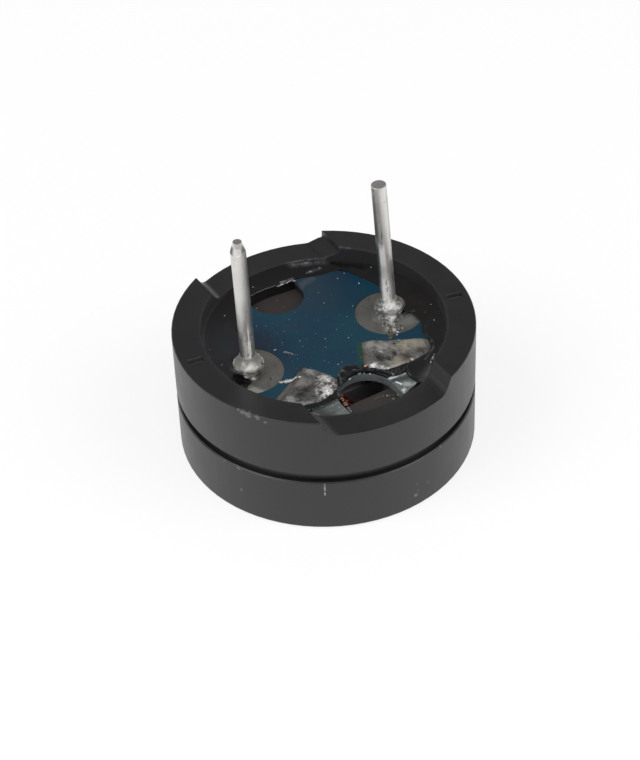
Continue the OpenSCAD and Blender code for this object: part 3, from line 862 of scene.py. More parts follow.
# The white and bright marks are painted highlights and glints; the burnt marks are partly burnt flux and
# partly painted shade in the crevices round the collar.
RIGHT_MARKS = [
    (-0.6, 0.1, FLANGE_Z, 0.8, PAD_GREY), (-0.7, -0.4, COPPER_Z + 0.1, 0.5, PAD_GREY),
    (0.4, -0.65, COPPER_Z + 0.05, 0.46, PAD_GREY), (-0.1, 0.6, ROOT_Z, 0.6, PAD_GREY),
    (0.5, 0.1, FLANGE_Z + 0.1, 0.3, GREY), (-0.12, -0.42, ROOT_Z + 0.05, 0.46, GLINT_WHITE),
    (-0.16, -0.4, ROOT_Z + 0.1, 0.36, HIGHLIGHT_WHITE), (-0.26, -0.66, ROOT_Z - 0.1, 0.2, HIGHLIGHT_WHITE),
    (0.45, -0.1, ROOT_Z, 0.2, HIGHLIGHT_WHITE),
    (-0.28, -0.66, COPPER_Z + 0.22, 0.18, GLINT_WHITE), (-0.42, -1.08, COPPER_Z + 0.04, 0.12, GLINT_WHITE),
    (0.1, -0.34, ROOT_Z + 0.06, 0.1, SCORCH_AND_SHADE), (0.12, -0.62, COPPER_Z + 0.16, 0.16, SCORCH_AND_SHADE),
    (-0.5, -0.8, COPPER_Z + 0.08, 0.14, SCORCH_AND_SHADE), (-0.2, -0.95, COPPER_Z + 0.06, 0.12, SCORCH_AND_SHADE),
]


def pin_collar(side, profile, swellings, marks, coarse):
    """One pin's collar. The marks count their x from the pin."""
    name, foot = "solder_collar_" + side, FEET[side]
    rings = collar(foot, smooth_profile(profile), swellings, 0.05)
    finish = hand_solder(name, [(foot + x, *rest) for x, *rest in marks], 0.4, coarse, foot)
    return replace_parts(put_rings(name, rings, finish), "pin_solder_" + side)


pin_collar("left", LEFT_PROFILE, LEFT_SWELLINGS, LEFT_MARKS, coarse=12.0)
pin_collar("right", RIGHT_PROFILE, RIGHT_SWELLINGS, RIGHT_MARKS, coarse=30.0)

# %% [markdown]
# ## Solder on the wire pads
# Each end of the coil's wire is soldered to a wide pad by hand, so no two pads look alike. A pad's
# solder is a shallow mound: rings shrink from the pad's outline to its middle, and a height function
# gives the mound its rim, its lumps and its pits. The same function makes both, from different lists.

# %% Curves through points
CURVE_STEP = 0.05


def dome(share):
    """Rises like a quarter of a circle, from 0 at a share of 0 to 1 at a share of 1."""
    return math.sqrt(1 - (1 - min(1.0, share)) ** 2)


def through(points, count, closed=False):
    """Evenly spaced points on a smooth curve through the given ones."""
    p = np.array(points, float)
    before, after = (p[-1:], p[:2]) if closed else (2 * p[:1] - p[1:2], 2 * p[-1:] - p[-2:-1])
    p = np.vstack([before, p, after])
    fine = []
    for a, b, c, d in zip(p, p[1:], p[2:], p[3:]):
        for t in np.arange(0, 1, CURVE_STEP):
            bend = (2 * a - 5 * b + 4 * c - d) * t**2 + (3 * b - a - 3 * c + d) * t**3
            fine.append(0.5 * (2 * b + (c - a) * t + bend))
    fine = np.array(fine + [p[-2]])
    run = np.concatenate([[0], np.cumsum(np.linalg.norm(np.diff(fine, axis=0), axis=1))])
    even = np.linspace(0, run[-1], count + 1 if closed else count)[:count]
    return np.column_stack([np.interp(even, run, column) for column in fine.T])


# %% A mound of solder on a pad
MOUND_RINGS = 64
MOUND_SIDES = 200


def mound(outline, thick, bulges, seed, base=COPPER_Z, wild=1.0):
    """Rings of a mound. A bulge is (x, y, radius, height); a pit has a negative height."""
    edge = through(outline, MOUND_SIDES, closed=True)
    middle = edge.mean(0)
    rings = [[(*p, base - 0.005) for p in middle + (edge - middle) * 0.99]]
    for share in np.linspace(1, 0.01, MOUND_RINGS):
        ring = []
        for x, y in middle + (edge - middle) * share:
            inside = min(1.0, (1 - share) * 5)
            rise = thick * dome(inside)
            rise *= 1 + wild * (0.35 * rough_at(x, y, seed, 2.2) + 0.16 * rough_at(x, y, seed, 9))
            for at_x, at_y, radius, height in bulges:
                rise += height * math.exp(-((x - at_x) ** 2 + (y - at_y) ** 2) / radius**2)
            ring.append((x, y, base + max(0.012, rise) * max(0.05, inside)))
        rings.append(ring)
    return rings


# %% The two wire pads, from their outlines, bulges and marks
LEFT_PAD = [
    (-1.55, -0.95), (-1.1, -1.55), (-0.82, -2.3), (-1.12, -2.85), (-1.6, -3.12), (-2.25, -3.12),
    (-2.8, -2.95), (-3.45, -2.35), (-3.3, -2.12), (-2.6, -1.75), (-2.2, -1.5), (-1.85, -1.2),
]
LEFT_BULGES = [
    (-1.25, -2.1, 0.22, 0.07), (-1.15, -2.5, 0.2, 0.09), (-1.6, -2.75, 0.24, 0.08),
    (-1.65, -2.3, 0.14, 0.06), (-2.2, -2.25, 0.2, -0.07), (-2.0, -1.9, 0.16, -0.04),
    (-1.9, -2.55, 0.1, 0.05), (-1.4, -1.75, 0.14, 0.04), (-2.75, -2.6, 0.12, -0.05),
    (-1.35, -2.85, 0.1, 0.06), (-1.0, -2.3, 0.08, 0.05),
]
RIGHT_PAD = [
    (1.15, -0.95), (1.75, -1.22), (2.55, -1.65), (3.42, -2.15), (3.45, -2.45), (3.15, -2.98),
    (2.2, -3.1), (1.4, -3.08), (0.95, -2.92), (0.6, -2.55), (0.54, -2.3), (0.9, -1.65),
]
RIGHT_BULGES = [
    (1.35, -1.5, 0.3, 0.06), (0.75, -2.6, 0.2, 0.1), (0.62, -2.3, 0.14, 0.07),
    (0.95, -2.1, 0.16, -0.08), (1.6, -2.5, 0.18, -0.07), (1.25, -2.35, 0.1, 0.05),
    (1.1, -2.95, 0.12, 0.08), (2.0, -2.0, 0.3, 0.03), (2.1, -2.45, 0.08, -0.04),
    (1.45, -1.95, 0.12, -0.03),
]
PAD_TOP = COPPER_Z + 0.14
# The bright marks are painted glints on the rough solder; the burnt marks are partly burnt flux and partly
# painted shade along the lower edges and in pits.
LEFT_PAD_MARKS = [
    (-2.15, -2.2, 0.46, SCORCH_AND_SHADE), (-2.5, -2.35, 0.3, SCORCH_AND_SHADE), (-1.85, -3.08, 0.34, SCORCH_AND_SHADE),
    (-1.3, -3.0, 0.26, SCORCH_AND_SHADE),
    (-2.7, -2.65, 0.14, SCORCH_AND_SHADE), (-1.5, -1.9, 0.1, SCORCH_AND_SHADE), (-1.25, -2.2, 0.34, GLINT_WHITE),
    (-1.6, -2.75, 0.34, GLINT_WHITE), (-1.05, -2.0, 0.12, GLINT_WHITE), (-2.1, -1.75, 0.5, SOFT_GREY),
    (-1.5, -1.4, 0.3, GREY), (-1.85, -2.75, 0.12, SCORCH_AND_SHADE), (-1.45, -2.45, 0.1, SCORCH_AND_SHADE),
    (-3.0, -2.4, 0.25, GREY),
]
RIGHT_PAD_MARKS = [
    (1.7, -1.72, 0.5, GREY), (1.3, -1.35, 0.34, GREY), (2.9, -2.2, 0.7, CREAM), (2.3, -2.15, 0.45, CREAM),
    (1.6, -2.75, 0.45, CREAM), (2.1, -2.72, 0.42, BROWN), (2.75, -2.75, 0.3, BROWN),
    (1.16, -2.2, 0.4, SCORCH_AND_SHADE), (1.5, -2.42, 0.26, SCORCH_AND_SHADE), (1.8, -2.3, 0.18, SCORCH_AND_SHADE),
    (0.9, -1.9, 0.16, SCORCH_AND_SHADE),
    (1.95, -1.5, 0.18, SCORCH_AND_SHADE), (2.1, -1.85, 0.12, SCORCH_AND_SHADE), (0.72, -2.5, 0.18, GLINT_WHITE),
    (1.0, -2.9, 0.15, GLINT_WHITE), (2.19, -3.05, 0.1, GLINT_WHITE), (1.42, -1.95, 0.08, GLINT_WHITE),
]


def wire_pad(side, outline, thick, bulges, marks, tone, seed):
    """One pad's solder. A mark is (x, y, radius, colour), and all lie near the mound's top."""
    name = "pad_solder_" + side
    finish = hand_solder(name, [(x, y, PAD_TOP, r, paint) for x, y, r, paint in marks], tone, 14.0)
    piece = put_rings(name, mound(outline, thick, bulges, seed), finish)
    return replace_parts(piece, "wire_solder_" + side)


wire_pad("left", LEFT_PAD, 0.11, LEFT_BULGES, LEFT_PAD_MARKS, tone=0.26, seed=3.0)
wire_pad("right", RIGHT_PAD, 0.1, RIGHT_BULGES, RIGHT_PAD_MARKS, tone=0.36, seed=8.0)

# %% [markdown]
# ## Poured resin
# Black resin holds the board. It wets the rim and climbs it in a curve, ends on the board in a thick
# rounded lip, and keeps the slow waves of a liquid. The piece is swept along the lip: each section
# starts at the lip, crosses to the rim's wall, and returns underneath. The height is one function
# of the place, so neighbouring sections always agree.

# %% The resin's edge on the board, anticlockwise from the right of the wire slot
RESIN_LIP = [
    (1.66, -4.5), (1.62, -4.1), (1.58, -3.7), (1.66, -3.3), (1.9, -3.0), (2.5, -2.95), (3.0, -2.84),
    (3.32, -2.56), (3.42, -2.1), (3.5, -1.6), (3.72, -1.2), (3.78, -0.82), (3.72, -0.5), (3.4, -0.42),
    (3.22, -0.3), (3.3, 0.15), (3.55, 0.5), (3.72, 1.0), (3.6, 1.6),
    (3.4, 2.2), (3.2, 2.7), (3.02, 3.14), (2.68, 3.42), (2.0, 3.56), (1.4, 3.75), (0.7, 3.88),
    (-0.4, 3.94), (-1.25, 3.82), (-1.55, 3.4), (-1.85, 2.8), (-2.3, 2.0), (-2.8, 1.25), (-3.45, 0.95),
    (-3.7, 0.4), (-3.55, -0.25), (-3.68, -0.62), (-4.0, -0.8), (-4.2, -1.0), (-4.05, -1.5), (-3.7, -2.2),
    (-3.35, -2.62), (-2.75, -3.25), (-2.52, -3.7), (-2.54, -4.08),
]
LIP_SECTIONS = 520
ACROSS = 34
SLOT_INNER = 2.5
MASK_EDGE = -3.3
print(f"resin's edge: {len(RESIN_LIP)} points, cut into {LIP_SECTIONS} sections")

# %% How high the resin lies, and on what
RESIN_FREE = 0.055
RESIN_CLIMB = 0.2
RESIN_WAVES = 0.016
CLIMB_FROM = 3.5
TIGHT_SPOT = (3.05, 3.55)
TIGHT_R = 0.7


def support(x, y):
    """Height of what the resin lies on: the board, or the case's floor beside it and in its slots."""
    on_board = math.hypot(x - BOARD_X, y) < BOARD_R
    in_slot = abs(x - BOARD_X) < SLOT_HALF and abs(y) > SLOT_INNER
    if not on_board or in_slot:
        return FLOOR_Z
    return MASK_Z - 0.03 if y > MASK_EDGE else LAMINATE_Z - 0.02


def resin_top(x, y):
    """Height of the resin, away from its lip. It climbs less where the board nearly meets the rim."""
    tight = math.exp(-((x - TIGHT_SPOT[0]) ** 2 + (y - TIGHT_SPOT[1]) ** 2) / TIGHT_R**2)
    outward = max(0.0, (math.hypot(x, y) - CLIMB_FROM) / (RIM_IN - CLIMB_FROM))
    climb = RESIN_CLIMB * (1 - 0.8 * tight) * outward**3
    return MASK_Z + RESIN_FREE + climb + RESIN_WAVES * rough_at(x, y, 5.0, 0.9, 2)


print(f"resin: z {resin_top(-3.6, 0):.2f} near its lip, z {resin_top(-RIM_IN, 0):.2f} at the rim")


# %% Sections from the lip to the rim
LIP_RAGGED = 0.035
LIP_OVER_SLOT = 0.07
WALL_ROUNDS = 60


def resin_section(inner, outer):
    """One section of the resin, from its lip to the rim's wall and back underneath."""
    (x0, y0), (x1, y1) = inner, outer
    wide = math.hypot(x1 - x0, y1 - y0)
    lip_on_board = support(x0, y0) > FLOOR_Z
    steep_below = -1.9 if x0 > 0 else -3.5
    lip_wide = np.interp(y0 - steep_below, (0, 0.5), (0.16, 0.4))
    top, bottom = [], []
    for t in (1 - np.cos(np.linspace(0, math.pi, ACROSS))) / 2:
        x, y = x0 + (x1 - x0) * t, y0 + (y1 - y0) * t
        low, high = support(x, y), resin_top(x, y)
        if lip_on_board:
            share = min(1.0, t * wide / lip_wide)
            rise = share * share * (3 - 2 * share)
            depth = (high - MASK_Z) * rise
            start = max(low, MASK_Z - 0.004)
            z = start + (high - start) * rise
        else:
            depth = 1.0
            z = low + (high - low) * dome(t * wide / LIP_OVER_SLOT)
        top.append((x, y, z + 0.001, depth))
        bottom.append((x, y, low, 1.0))
    return top + bottom[::-1]


def resin_rings():
    """Every section, with the lip a little ragged and the wall's points evenly spread."""
    lip = through(RESIN_LIP, LIP_SECTIONS)
    for point in lip:
        point += LIP_RAGGED * np.array([rough_at(*point, 1.0, 1.8), rough_at(*point, 9.0, 1.8)])
    angle = np.maximum.accumulate(np.unwrap(np.arctan2(lip[:, 1], lip[:, 0])))
    angle = smoothed(angle, WALL_ROUNDS)
    wall = RIM_IN * np.column_stack([np.cos(angle), np.sin(angle)])
    return [resin_section(*pair) for pair in zip(lip, wall)]


# %% Glossy black, with pale smears and painted glints
# Pale lines on the resin, each (start, end, radius, tone): partly glue smears and partly painted glints near
# the rear wall.
RESIN_SMEARS_AND_GLINTS = (
    ((1.2, 4.62), (2.6, 4.0), 0.2, 0.05), ((1.35, 4.56), (1.9, 4.36), 0.08, 0.15),
    ((0.4, 4.0), (0.95, 3.95), 0.09, 0.18), ((1.6, 3.95), (2.2, 3.85), 0.1, 0.1),
    ((2.6, -3.3), (3.3, -2.9), 0.07, 0.08),
)


def poured_resin():
    """Glossy black. Where the depth fades out at the lip, the board shows through."""
    finish = Finish("poured_resin")
    cloud = finish.noise(0.8, 3)
    film = finish.noise(1.3, 4, 0.6).fade(0.52, 0.75)
    pits = finish.noise(5, 3, 0.6)
    depth = finish.add("ShaderNodeAttribute", out="Fac", attribute_name="depth")
    colour = finish.mix(cloud, shade(0.004, 0.004, 0.0045), shade(0.0085, 0.008, 0.0085))
    amber = finish.near((4.3, -0.2, MASK_Z), 1.0, 0.9)
    # Painted sheen on the resin's left part.
    left_sheen = finish.near((-4.0, 1.6, MASK_Z), 2.6, 0.9)
    colour = finish.coats(
        colour, (amber * 0.6, shade(0.014, 0.009, 0.006)), (film * 0.4, shade(0.014, 0.015, 0.017)),
        (left_sheen * 0.9, shade(0.02, 0.021, 0.026)),
    )
    edge = finish.from_axis().fade(RIM_IN - 0.14, RIM_IN - 0.03) * finish.x.fade(-1.0, -3.0)
    for start, end, radius, tone in RESIN_SMEARS_AND_GLINTS:
        ends = [(x, y, resin_top(x, y)) for x, y in (start, end)]
        smear_and_glint = finish.along(*ends, radius, 0.9) * pits.fade(0.4, 0.6, 0.3, 1.0)
        colour = finish.mix(smear_and_glint, colour, shade(tone, tone * 1.02, tone * 1.1))
    rough = 0.12 + 0.14 * film + 0.06 * cloud + 0.4 * edge
    normal = finish.bump(pits, 1.2)
    alpha = depth.fade(0.0, 0.01, 0.3, 1.0)
    return finish.surface(Base_Color=colour, Roughness=rough, Normal=normal, Alpha=alpha, IOR=1.54)


resin = put_rings("poured_resin", resin_rings(), poured_resin())
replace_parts(resin, "edge_resin")

# %% [markdown]
# ## Geometry Nodes for what repeats
# Flux drops, glue beads, chips and dust are all lumps: a ball that is stretched, turned and made
# rough. One tree makes them from points that carry a size and a turn. A second tree runs a wire
# along a path, and a third winds the coil. Each tree ends in real geometry with its material set.

# %% A Geometry Nodes tree with named inputs
KINDS = {"count": "NodeSocketInt", "size": "NodeSocketFloat", "finish": "NodeSocketMaterial"}


def new_tree(name, inputs):
    """A tree and its input node. Inputs are {name: kind}, beside the geometry that goes in."""
    tree = bpy.data.node_groups.new(name, "GeometryNodeTree")
    tree.interface.new_socket("Start", in_out="INPUT", socket_type="NodeSocketGeometry")
    for label, kind in inputs.items():
        tree.interface.new_socket(label, in_out="INPUT", socket_type=KINDS[kind])
    tree.interface.new_socket("Result", in_out="OUTPUT", socket_type="NodeSocketGeometry")
    graph = Graph(tree)
    return graph, graph.add("NodeGroupInput")


def end_tree(graph, geometry, finish):
    """Makes the geometry real, sets its material and closes the tree."""
    real = graph.add("GeometryNodeRealizeInstances", {"Geometry": geometry})
    done = graph.add("GeometryNodeSetMaterial", {"Geometry": real, "Material": finish})
    graph.add("NodeGroupOutput", {"Result": done})
    print(f"tree {graph.tree.name}: {len(graph.tree.nodes)} nodes")
    return graph.tree


def grow(name, tree, mesh, values, finish):
    """Runs a tree on a start mesh in millimetres, and puts its result as a plain piece."""
    start = add_object(name + "_start", mesh)
    modifier = start.modifiers.new(name, "NODES")
    modifier.node_group = tree
    values = {**values, "Finish": finish}
    for item in tree.interface.items_tree:
        if item.in_out == "INPUT" and item.name in values:
            modifier[item.identifier] = values[item.name]
    bpy.context.view_layer.update()
    shown = start.evaluated_get(bpy.context.evaluated_depsgraph_get())
    result = bpy.data.meshes.new_from_object(shown)
    start.modifiers.remove(modifier)
    bpy.data.objects.remove(start)
    result.name = name
    return put(name, result, finish, crease=60)


# %% A tree that turns points into rough lumps
def lump_tree():
    inputs = {"Detail": "count", "Roughness": "size", "Cells": "size", "Finish": "finish"}
    graph, given = new_tree("lumps", inputs)
    points = graph.add("GeometryNodeMeshToPoints", {"Mesh": given.other("Start")})
    sockets = {"Radius": 1.0, "Subdivisions": given.other("Detail")}
    ball = graph.add("GeometryNodeMeshIcoSphere", sockets)
    size = graph.add("GeometryNodeInputNamedAttribute", {"Name": "size"}, data_type="FLOAT_VECTOR")
    turn = graph.add("GeometryNodeInputNamedAttribute", {"Name": "turn"}, data_type="FLOAT")
    spin = graph.add("ShaderNodeCombineXYZ", {"Z": turn})
    sockets = {"Points": points, "Instance": ball, "Rotation": spin, "Scale": size}
    balls = graph.add("GeometryNodeInstanceOnPoints", sockets)
    real = graph.add("GeometryNodeRealizeInstances", {"Geometry": balls})
    place = graph.add("GeometryNodeInputPosition")
    sockets = {"Vector": place, "Scale": given.other("Cells"), "Detail": 3.0}
    waves = graph.add("ShaderNodeTexNoise", sockets)
    reach_out = (waves - 0.5) * given.other("Roughness") * graph.vector("LENGTH", size).other("Value")
    out = graph.vector("SCALE", graph.add("GeometryNodeInputNormal"), Scale=reach_out)
    moved = graph.add("GeometryNodeSetPosition", {"Geometry": real, "Offset": out})
    return end_tree(graph, moved, given.other("Finish"))


LUMPS = lump_tree()


def lumps(name, spots, finish, roughness, cells, detail=3):
    """Lumps at spots, each (x, y, z, half length, half width, half height, turn in degrees)."""
    mesh = bpy.data.meshes.new(name)
    mesh.from_pydata([spot[:3] for spot in spots], [], [])
    size = mesh.attributes.new("size", "FLOAT_VECTOR", "POINT")
    size.data.foreach_set("vector", [s for spot in spots for s in spot[3:6]])
    turn = mesh.attributes.new("turn", "FLOAT", "POINT")
    turn.data.foreach_set("value", [math.radians(spot[6]) for spot in spots])
    values = {"Detail": detail, "Roughness": roughness, "Cells": cells}
    return grow(name, LUMPS, mesh, values, finish)


# %% A tree that runs a round wire along a path
def wire_tree():
    graph, given = new_tree("wire", {"Radius": "size", "Sides": "count", "Finish": "finish"})
    curve = graph.add("GeometryNodeMeshToCurve", {"Mesh": given.other("Start")})
    circle = {"Radius": given.other("Radius"), "Resolution": given.other("Sides")}
    ring = graph.add("GeometryNodeCurvePrimitiveCircle", circle)
    sockets = {"Curve": curve, "Profile Curve": ring, "Fill Caps": True}
    return end_tree(graph, graph.add("GeometryNodeCurveToMesh", sockets), given.other("Finish"))


WIRE_TREE = wire_tree()
WIRE_SIDES = 10
WIRE_POINTS = 60


def wires(name, paths, radius, finish):
    """Wires of one radius, each along a smooth curve through its points."""
    spots, edges = [], []
    for path in paths:
        first = len(spots)
        spots += [tuple(p) for p in through(path, WIRE_POINTS)]
        edges += [(i, i + 1) for i in range(first, len(spots) - 1)]
    mesh = bpy.data.meshes.new(name)
    mesh.from_pydata(spots, edges, [])
    return grow(name, WIRE_TREE, mesh, {"Radius": radius, "Sides": WIRE_SIDES}, finish)


# %% A tree that winds the coil
POLE_R = 0.8
COIL_R = 2.65
COIL_Z = reach("coil_winding", Z, 0)
COIL_H = reach("yoke_plate", Z, 0) - COIL_Z
STRAND = 0.09
TURN_SIDES = 72
STRAND_SIDES = 8


def winding_tree():
    """An outer layer of round wire over a plain block, which stands for the layers below."""
    inputs = {"Turns": "size", "Radius": "size", "Height": "size", "Wire": "size", "Bore": "size"}
    graph, given = new_tree("winding", {**inputs, "Finish": "finish"})
    radius, height, wire = (given.other(name) for name in ("Radius", "Height", "Wire"))
    run = radius - wire / 2
    sockets = {
        "Resolution": TURN_SIDES, "Rotations": given.other("Turns"), "Start Radius": run,
        "End Radius": run, "Height": height,
    }
    helix = graph.add("GeometryNodeCurveSpiral", sockets)
    sockets = {"Radius": wire / 2, "Resolution": STRAND_SIDES}
    section = graph.add("GeometryNodeCurvePrimitiveCircle", sockets)
    sockets = {"Curve": helix, "Profile Curve": section, "Fill Caps": True}
    outer = graph.add("GeometryNodeCurveToMesh", sockets)
    sockets = {"Radius": (run + given.other("Bore")) / 2, "Resolution": TURN_SIDES}
    middle = graph.add("GeometryNodeCurvePrimitiveCircle", sockets)
    sockets = {"Width": run - given.other("Bore"), "Height": height}
    block = graph.add("GeometryNodeCurvePrimitiveQuadrilateral", sockets)
    inner = graph.add("GeometryNodeCurveToMesh", {"Curve": middle, "Profile Curve": block})
    lift = graph.add("ShaderNodeCombineXYZ", {"Z": height / 2})
    inner = graph.add("GeometryNodeTransform", {"Geometry": inner, "Translation": lift})
    both = graph.add("GeometryNodeJoinGeometry", {"Geometry": outer})
    graph.tree.links.new(inner.socket, both.socket.node.inputs["Geometry"])
    at = graph.add("ShaderNodeCombineXYZ", {"Z": COIL_Z})
    whole = graph.add("GeometryNodeTransform", {"Geometry": both, "Translation": at})
    return end_tree(graph, whole, given.other("Finish"))


print(f"coil: {COIL_H:.2f} mm high from z {COIL_Z:.2f}, {COIL_H / STRAND - 1:.0f} turns in its outer layer")

# %% [markdown]
# ## The winding and its two ends
# The coil is one enamelled wire. Its outer layer is a true helix over a solid block that stands for
# the layers below. Both ends rise through the wire slot: the left one is slack and glints in the
# slot, the right one hugs the slot's arch under a drop of glue.

# %% Enamelled copper, and the coil
def enamelled_copper(name, dark, pale, metal=1.0):
    """Copper under a coat of clear enamel. Less metal makes it show its colour on every side."""
    finish = Finish(name)
    cloud = finish.noise(4, 3, 0.6).fade(0.35, 0.65)
    colour, rough = finish.mix(cloud, dark, pale), 0.24 + 0.14 * cloud
    enamel = {"Coat_Weight": 0.5, "Coat_Roughness": 0.1}
    return finish.surface(Base_Color=colour, Roughness=rough, Metallic=metal, **enamel)


copper = enamelled_copper("winding_copper", shade(0.1, 0.02, 0.014), shade(0.28, 0.07, 0.04))
lead_copper = enamelled_copper("lead_copper", shade(0.3, 0.08, 0.055), shade(1.0, 0.56, 0.42), 0.45)
inner_copper = enamelled_copper("inner_copper", shade(0.07, 0.016, 0.012), shade(0.2, 0.06, 0.045), 0.3)
post = bpy.data.meshes.new("coil")
post.from_pydata([(0, 0, 0)], [], [])
coil_sizes = {
    "Turns": COIL_H / STRAND - 1, "Radius": COIL_R, "Height": COIL_H - STRAND, "Wire": STRAND,
    "Bore": POLE_R,
}
coil = grow("coil", winding_tree(), post, coil_sizes, copper)
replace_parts(coil, "coil_winding")

# %% The wires that rise through the slot
LEADS = [
    [(-0.6, -2.3, 2.95), (-0.82, -2.67, 3.6), (-0.98, -2.96, 4.0), (-1.1, -3.2, 4.25),
     (-1.2, -3.34, 4.38), (-1.3, -3.4, 4.42)],
    [(-0.5, -2.3, 2.95), (-0.7, -2.8, 3.55), (-0.88, -3.1, 3.9), (-1.06, -3.38, 4.2),
     (-1.18, -3.48, 4.34), (-1.3, -3.52, 4.4)],
    [(-0.4, -2.2, 2.95), (-0.62, -2.55, 3.5), (-0.84, -2.86, 3.85), (-1.02, -3.1, 4.12),
     (-1.16, -3.2, 4.36), (-1.3, -3.26, 4.42)],
    [(-0.3, -2.2, 2.95), (-0.56, -2.62, 3.4), (-0.78, -3.0, 3.7), (-0.96, -3.26, 3.98),
     (-1.12, -3.5, 4.25), (-1.3, -3.6, 4.36)],
    [(0.5, -2.1, 2.95), (0.4, -2.2, 3.4), (0.3, -2.46, 4.0), (0.24, -2.53, 4.4),
     (0.25, -2.46, MASK_Z), (0.4, -2.3, MASK_Z), (0.6, -2.3, MASK_Z + 0.05)],
]
INNER_LEADS = [
    [(-0.3, -2.25, 2.95), (-0.55, -2.6, 3.6), (-0.8, -2.84, 4.0),
     (-1.02, -3.0, 4.26), (-1.28, -3.12, 4.4)],
    [(-0.2, -2.25, 2.95), (-0.42, -2.7, 3.5), (-0.66, -3.0, 3.86),
     (-0.92, -3.22, 4.14), (-1.28, -3.46, 4.34)],
    [(-0.4, -2.2, 2.95), (-0.62, -2.5, 3.6), (-0.86, -2.74, 4.06),
     (-1.04, -2.94, 4.3), (-1.28, -3.2, 4.38)],
]
wires("coil_leads", LEADS, 0.03, lead_copper)
wires("inner_leads", INNER_LEADS, 0.06, inner_copper)

# %% [markdown]
# ## Flux, glue, dust and chips
# A workbench leaves traces. Flux dries brown and glassy beside each joint, black glue holds the wire
# on the slot's edge and runs along the pads, white glue smears the rear of the board, dust falls on
# everything, and the rim's edge is chipped. Glue that levelled is a low mound. All the rest are lumps
# from one tree, in a few finishes of their own.

# %% Finishes of the small lumps: two shades each, and for some a glint
flux = mottled(
    "dried_flux", (6, 4, 0.7), shade(0.014, 0.011, 0.007), shade(0.12, 0.105, 0.065), (0.18, 0.25),
    edges=(0.35, 0.65), bump=12.0, glint=((11, 3), (0.6, 0.66), shade(0.5, 0.47, 0.4)),
)
glue = mottled(
    "black_glue", (2.5, 4, 0.65), shade(0.003, 0.0035, 0.004), shade(0.008, 0.011, 0.011), (0.12, 0.1),
    bump=5.0, glint=((3.5, 3, 0.6), (0.58, 0.7, 0.0, 0.6), shade(0.02, 0.04, 0.045)),
)
smear = mottled(
    "white_glue", (5, 4, 0.7), shade(0.1, 0.115, 0.13), shade(0.4, 0.42, 0.44), (0.2, 0.2),
    alpha=(0.35, 0.6, 0.0, 0.85),
)
dust = mottled(
    "pale_dust", (7, 3), shade(0.13, 0.15, 0.17), shade(0.5, 0.53, 0.56), (0.7, 0.2), edges=(0.35, 0.65),
)
# A pale glossy finish for glue threads, also used to paint highlights on edges.
thread_and_highlight = mottled(
    "glossy_thread", (6, 3), shade(0.12, 0.14, 0.15), shade(0.6, 0.62, 0.63), (0.15, 0.1), edges=(0.35, 0.6),
)
chipped = mottled(
    "knocked_edge", (9, 4, 0.7), shade(0.09, 0.09, 0.095), shade(0.62, 0.62, 0.64), (0.5, 0.3),
    edges=(0.4, 0.6),
)
print("finishes:", ", ".join(made.name for made in (flux, glue, smear, dust, thread_and_highlight, chipped)))

# %% Flux and solder drops beside the right pin, and flux on the case's floor
def raised(level, *rows):
    """Rows whose third number counts from a level."""
    return [(x, y, level + up, *rest) for x, y, up, *rest in rows]


FLUX = raised(
    MASK_Z, (2.46, -1.0, 0.01, 0.1, 0.08, 0.05, 20), (2.34, -1.2, 0.01, 0.1, 0.12, 0.05, 0),
    (2.24, -1.36, 0.01, 0.13, 0.07, 0.04, -25),
) + raised(
    COPPER_Z, (2.62, -0.72, 0.02, 0.1, 0.08, 0.05, 60), (2.5, -0.5, 0.02, 0.1, 0.05, 0.03, 10),
    (2.95, -0.95, 0.01, 0.1, 0.05, 0.03, 30), (2.78, -1.1, 0.01, 0.09, 0.06, 0.04, -30),
    (-2.95, -0.85, 0.01, 0.1, 0.05, 0.03, 75),
) + raised(
    FLOOR_Z, (0.1, -3.72, 0, 0.13, 0.05, 0.04, 0), (0.34, -3.72, 0, 0.12, 0.08, 0.05, 30),
    (0.5, -3.84, 0, 0.07, 0.09, 0.05, 0), (0.7, -3.92, 0, 0.13, 0.07, 0.05, -20),
    (0.86, -4.02, 0, 0.07, 0.07, 0.05, 0), (0.6, -4.1, 0, 0.08, 0.05, 0.03, 10),
)
lumps("flux", FLUX, flux, roughness=0.8, cells=9.0)
DROPS = raised(
    COPPER_Z, (2.68, -1.2, 0, 0.05, 0.06, 0.05, 0), (2.62, -1.0, 0, 0.04, 0.05, 0.04, 0),
    (2.8, -0.9, 0, 0.05, 0.04, 0.04, 0), (2.5, -0.78, 0, 0.04, 0.03, 0.03, 0),
    (2.55, -1.35, MASK_Z - COPPER_Z, 0.04, 0.03, 0.03, 0), (2.98, -1.1, 0, 0.03, 0.04, 0.03, 0),
    (2.4, -0.55, 0, 0.03, 0.03, 0.02, 0), (2.72, -0.62, 0, 0.04, 0.05, 0.05, 0),
)
LINK = raised(
    COPPER_Z, (-2.76, -1.3, 0.05, 0.11, 0.06, 0.05, -24), (-2.56, -1.33, 0.07, 0.09, 0.025, 0.03, 8),
    (-2.42, -1.41, 0.07, 0.1, 0.035, 0.04, -34), (-2.2, -1.43, 0.09, 0.12, 0.025, 0.03, 6),
    (-2.04, -1.5, 0.11, 0.07, 0.05, 0.05, -30),
)
bare_solder = hand_solder("bright_solder", tone=0.85)
lumps("solder_drops", DROPS + LINK, bare_solder, roughness=0.6, cells=9.0)
dress(bare_solder, "solder_link_left")

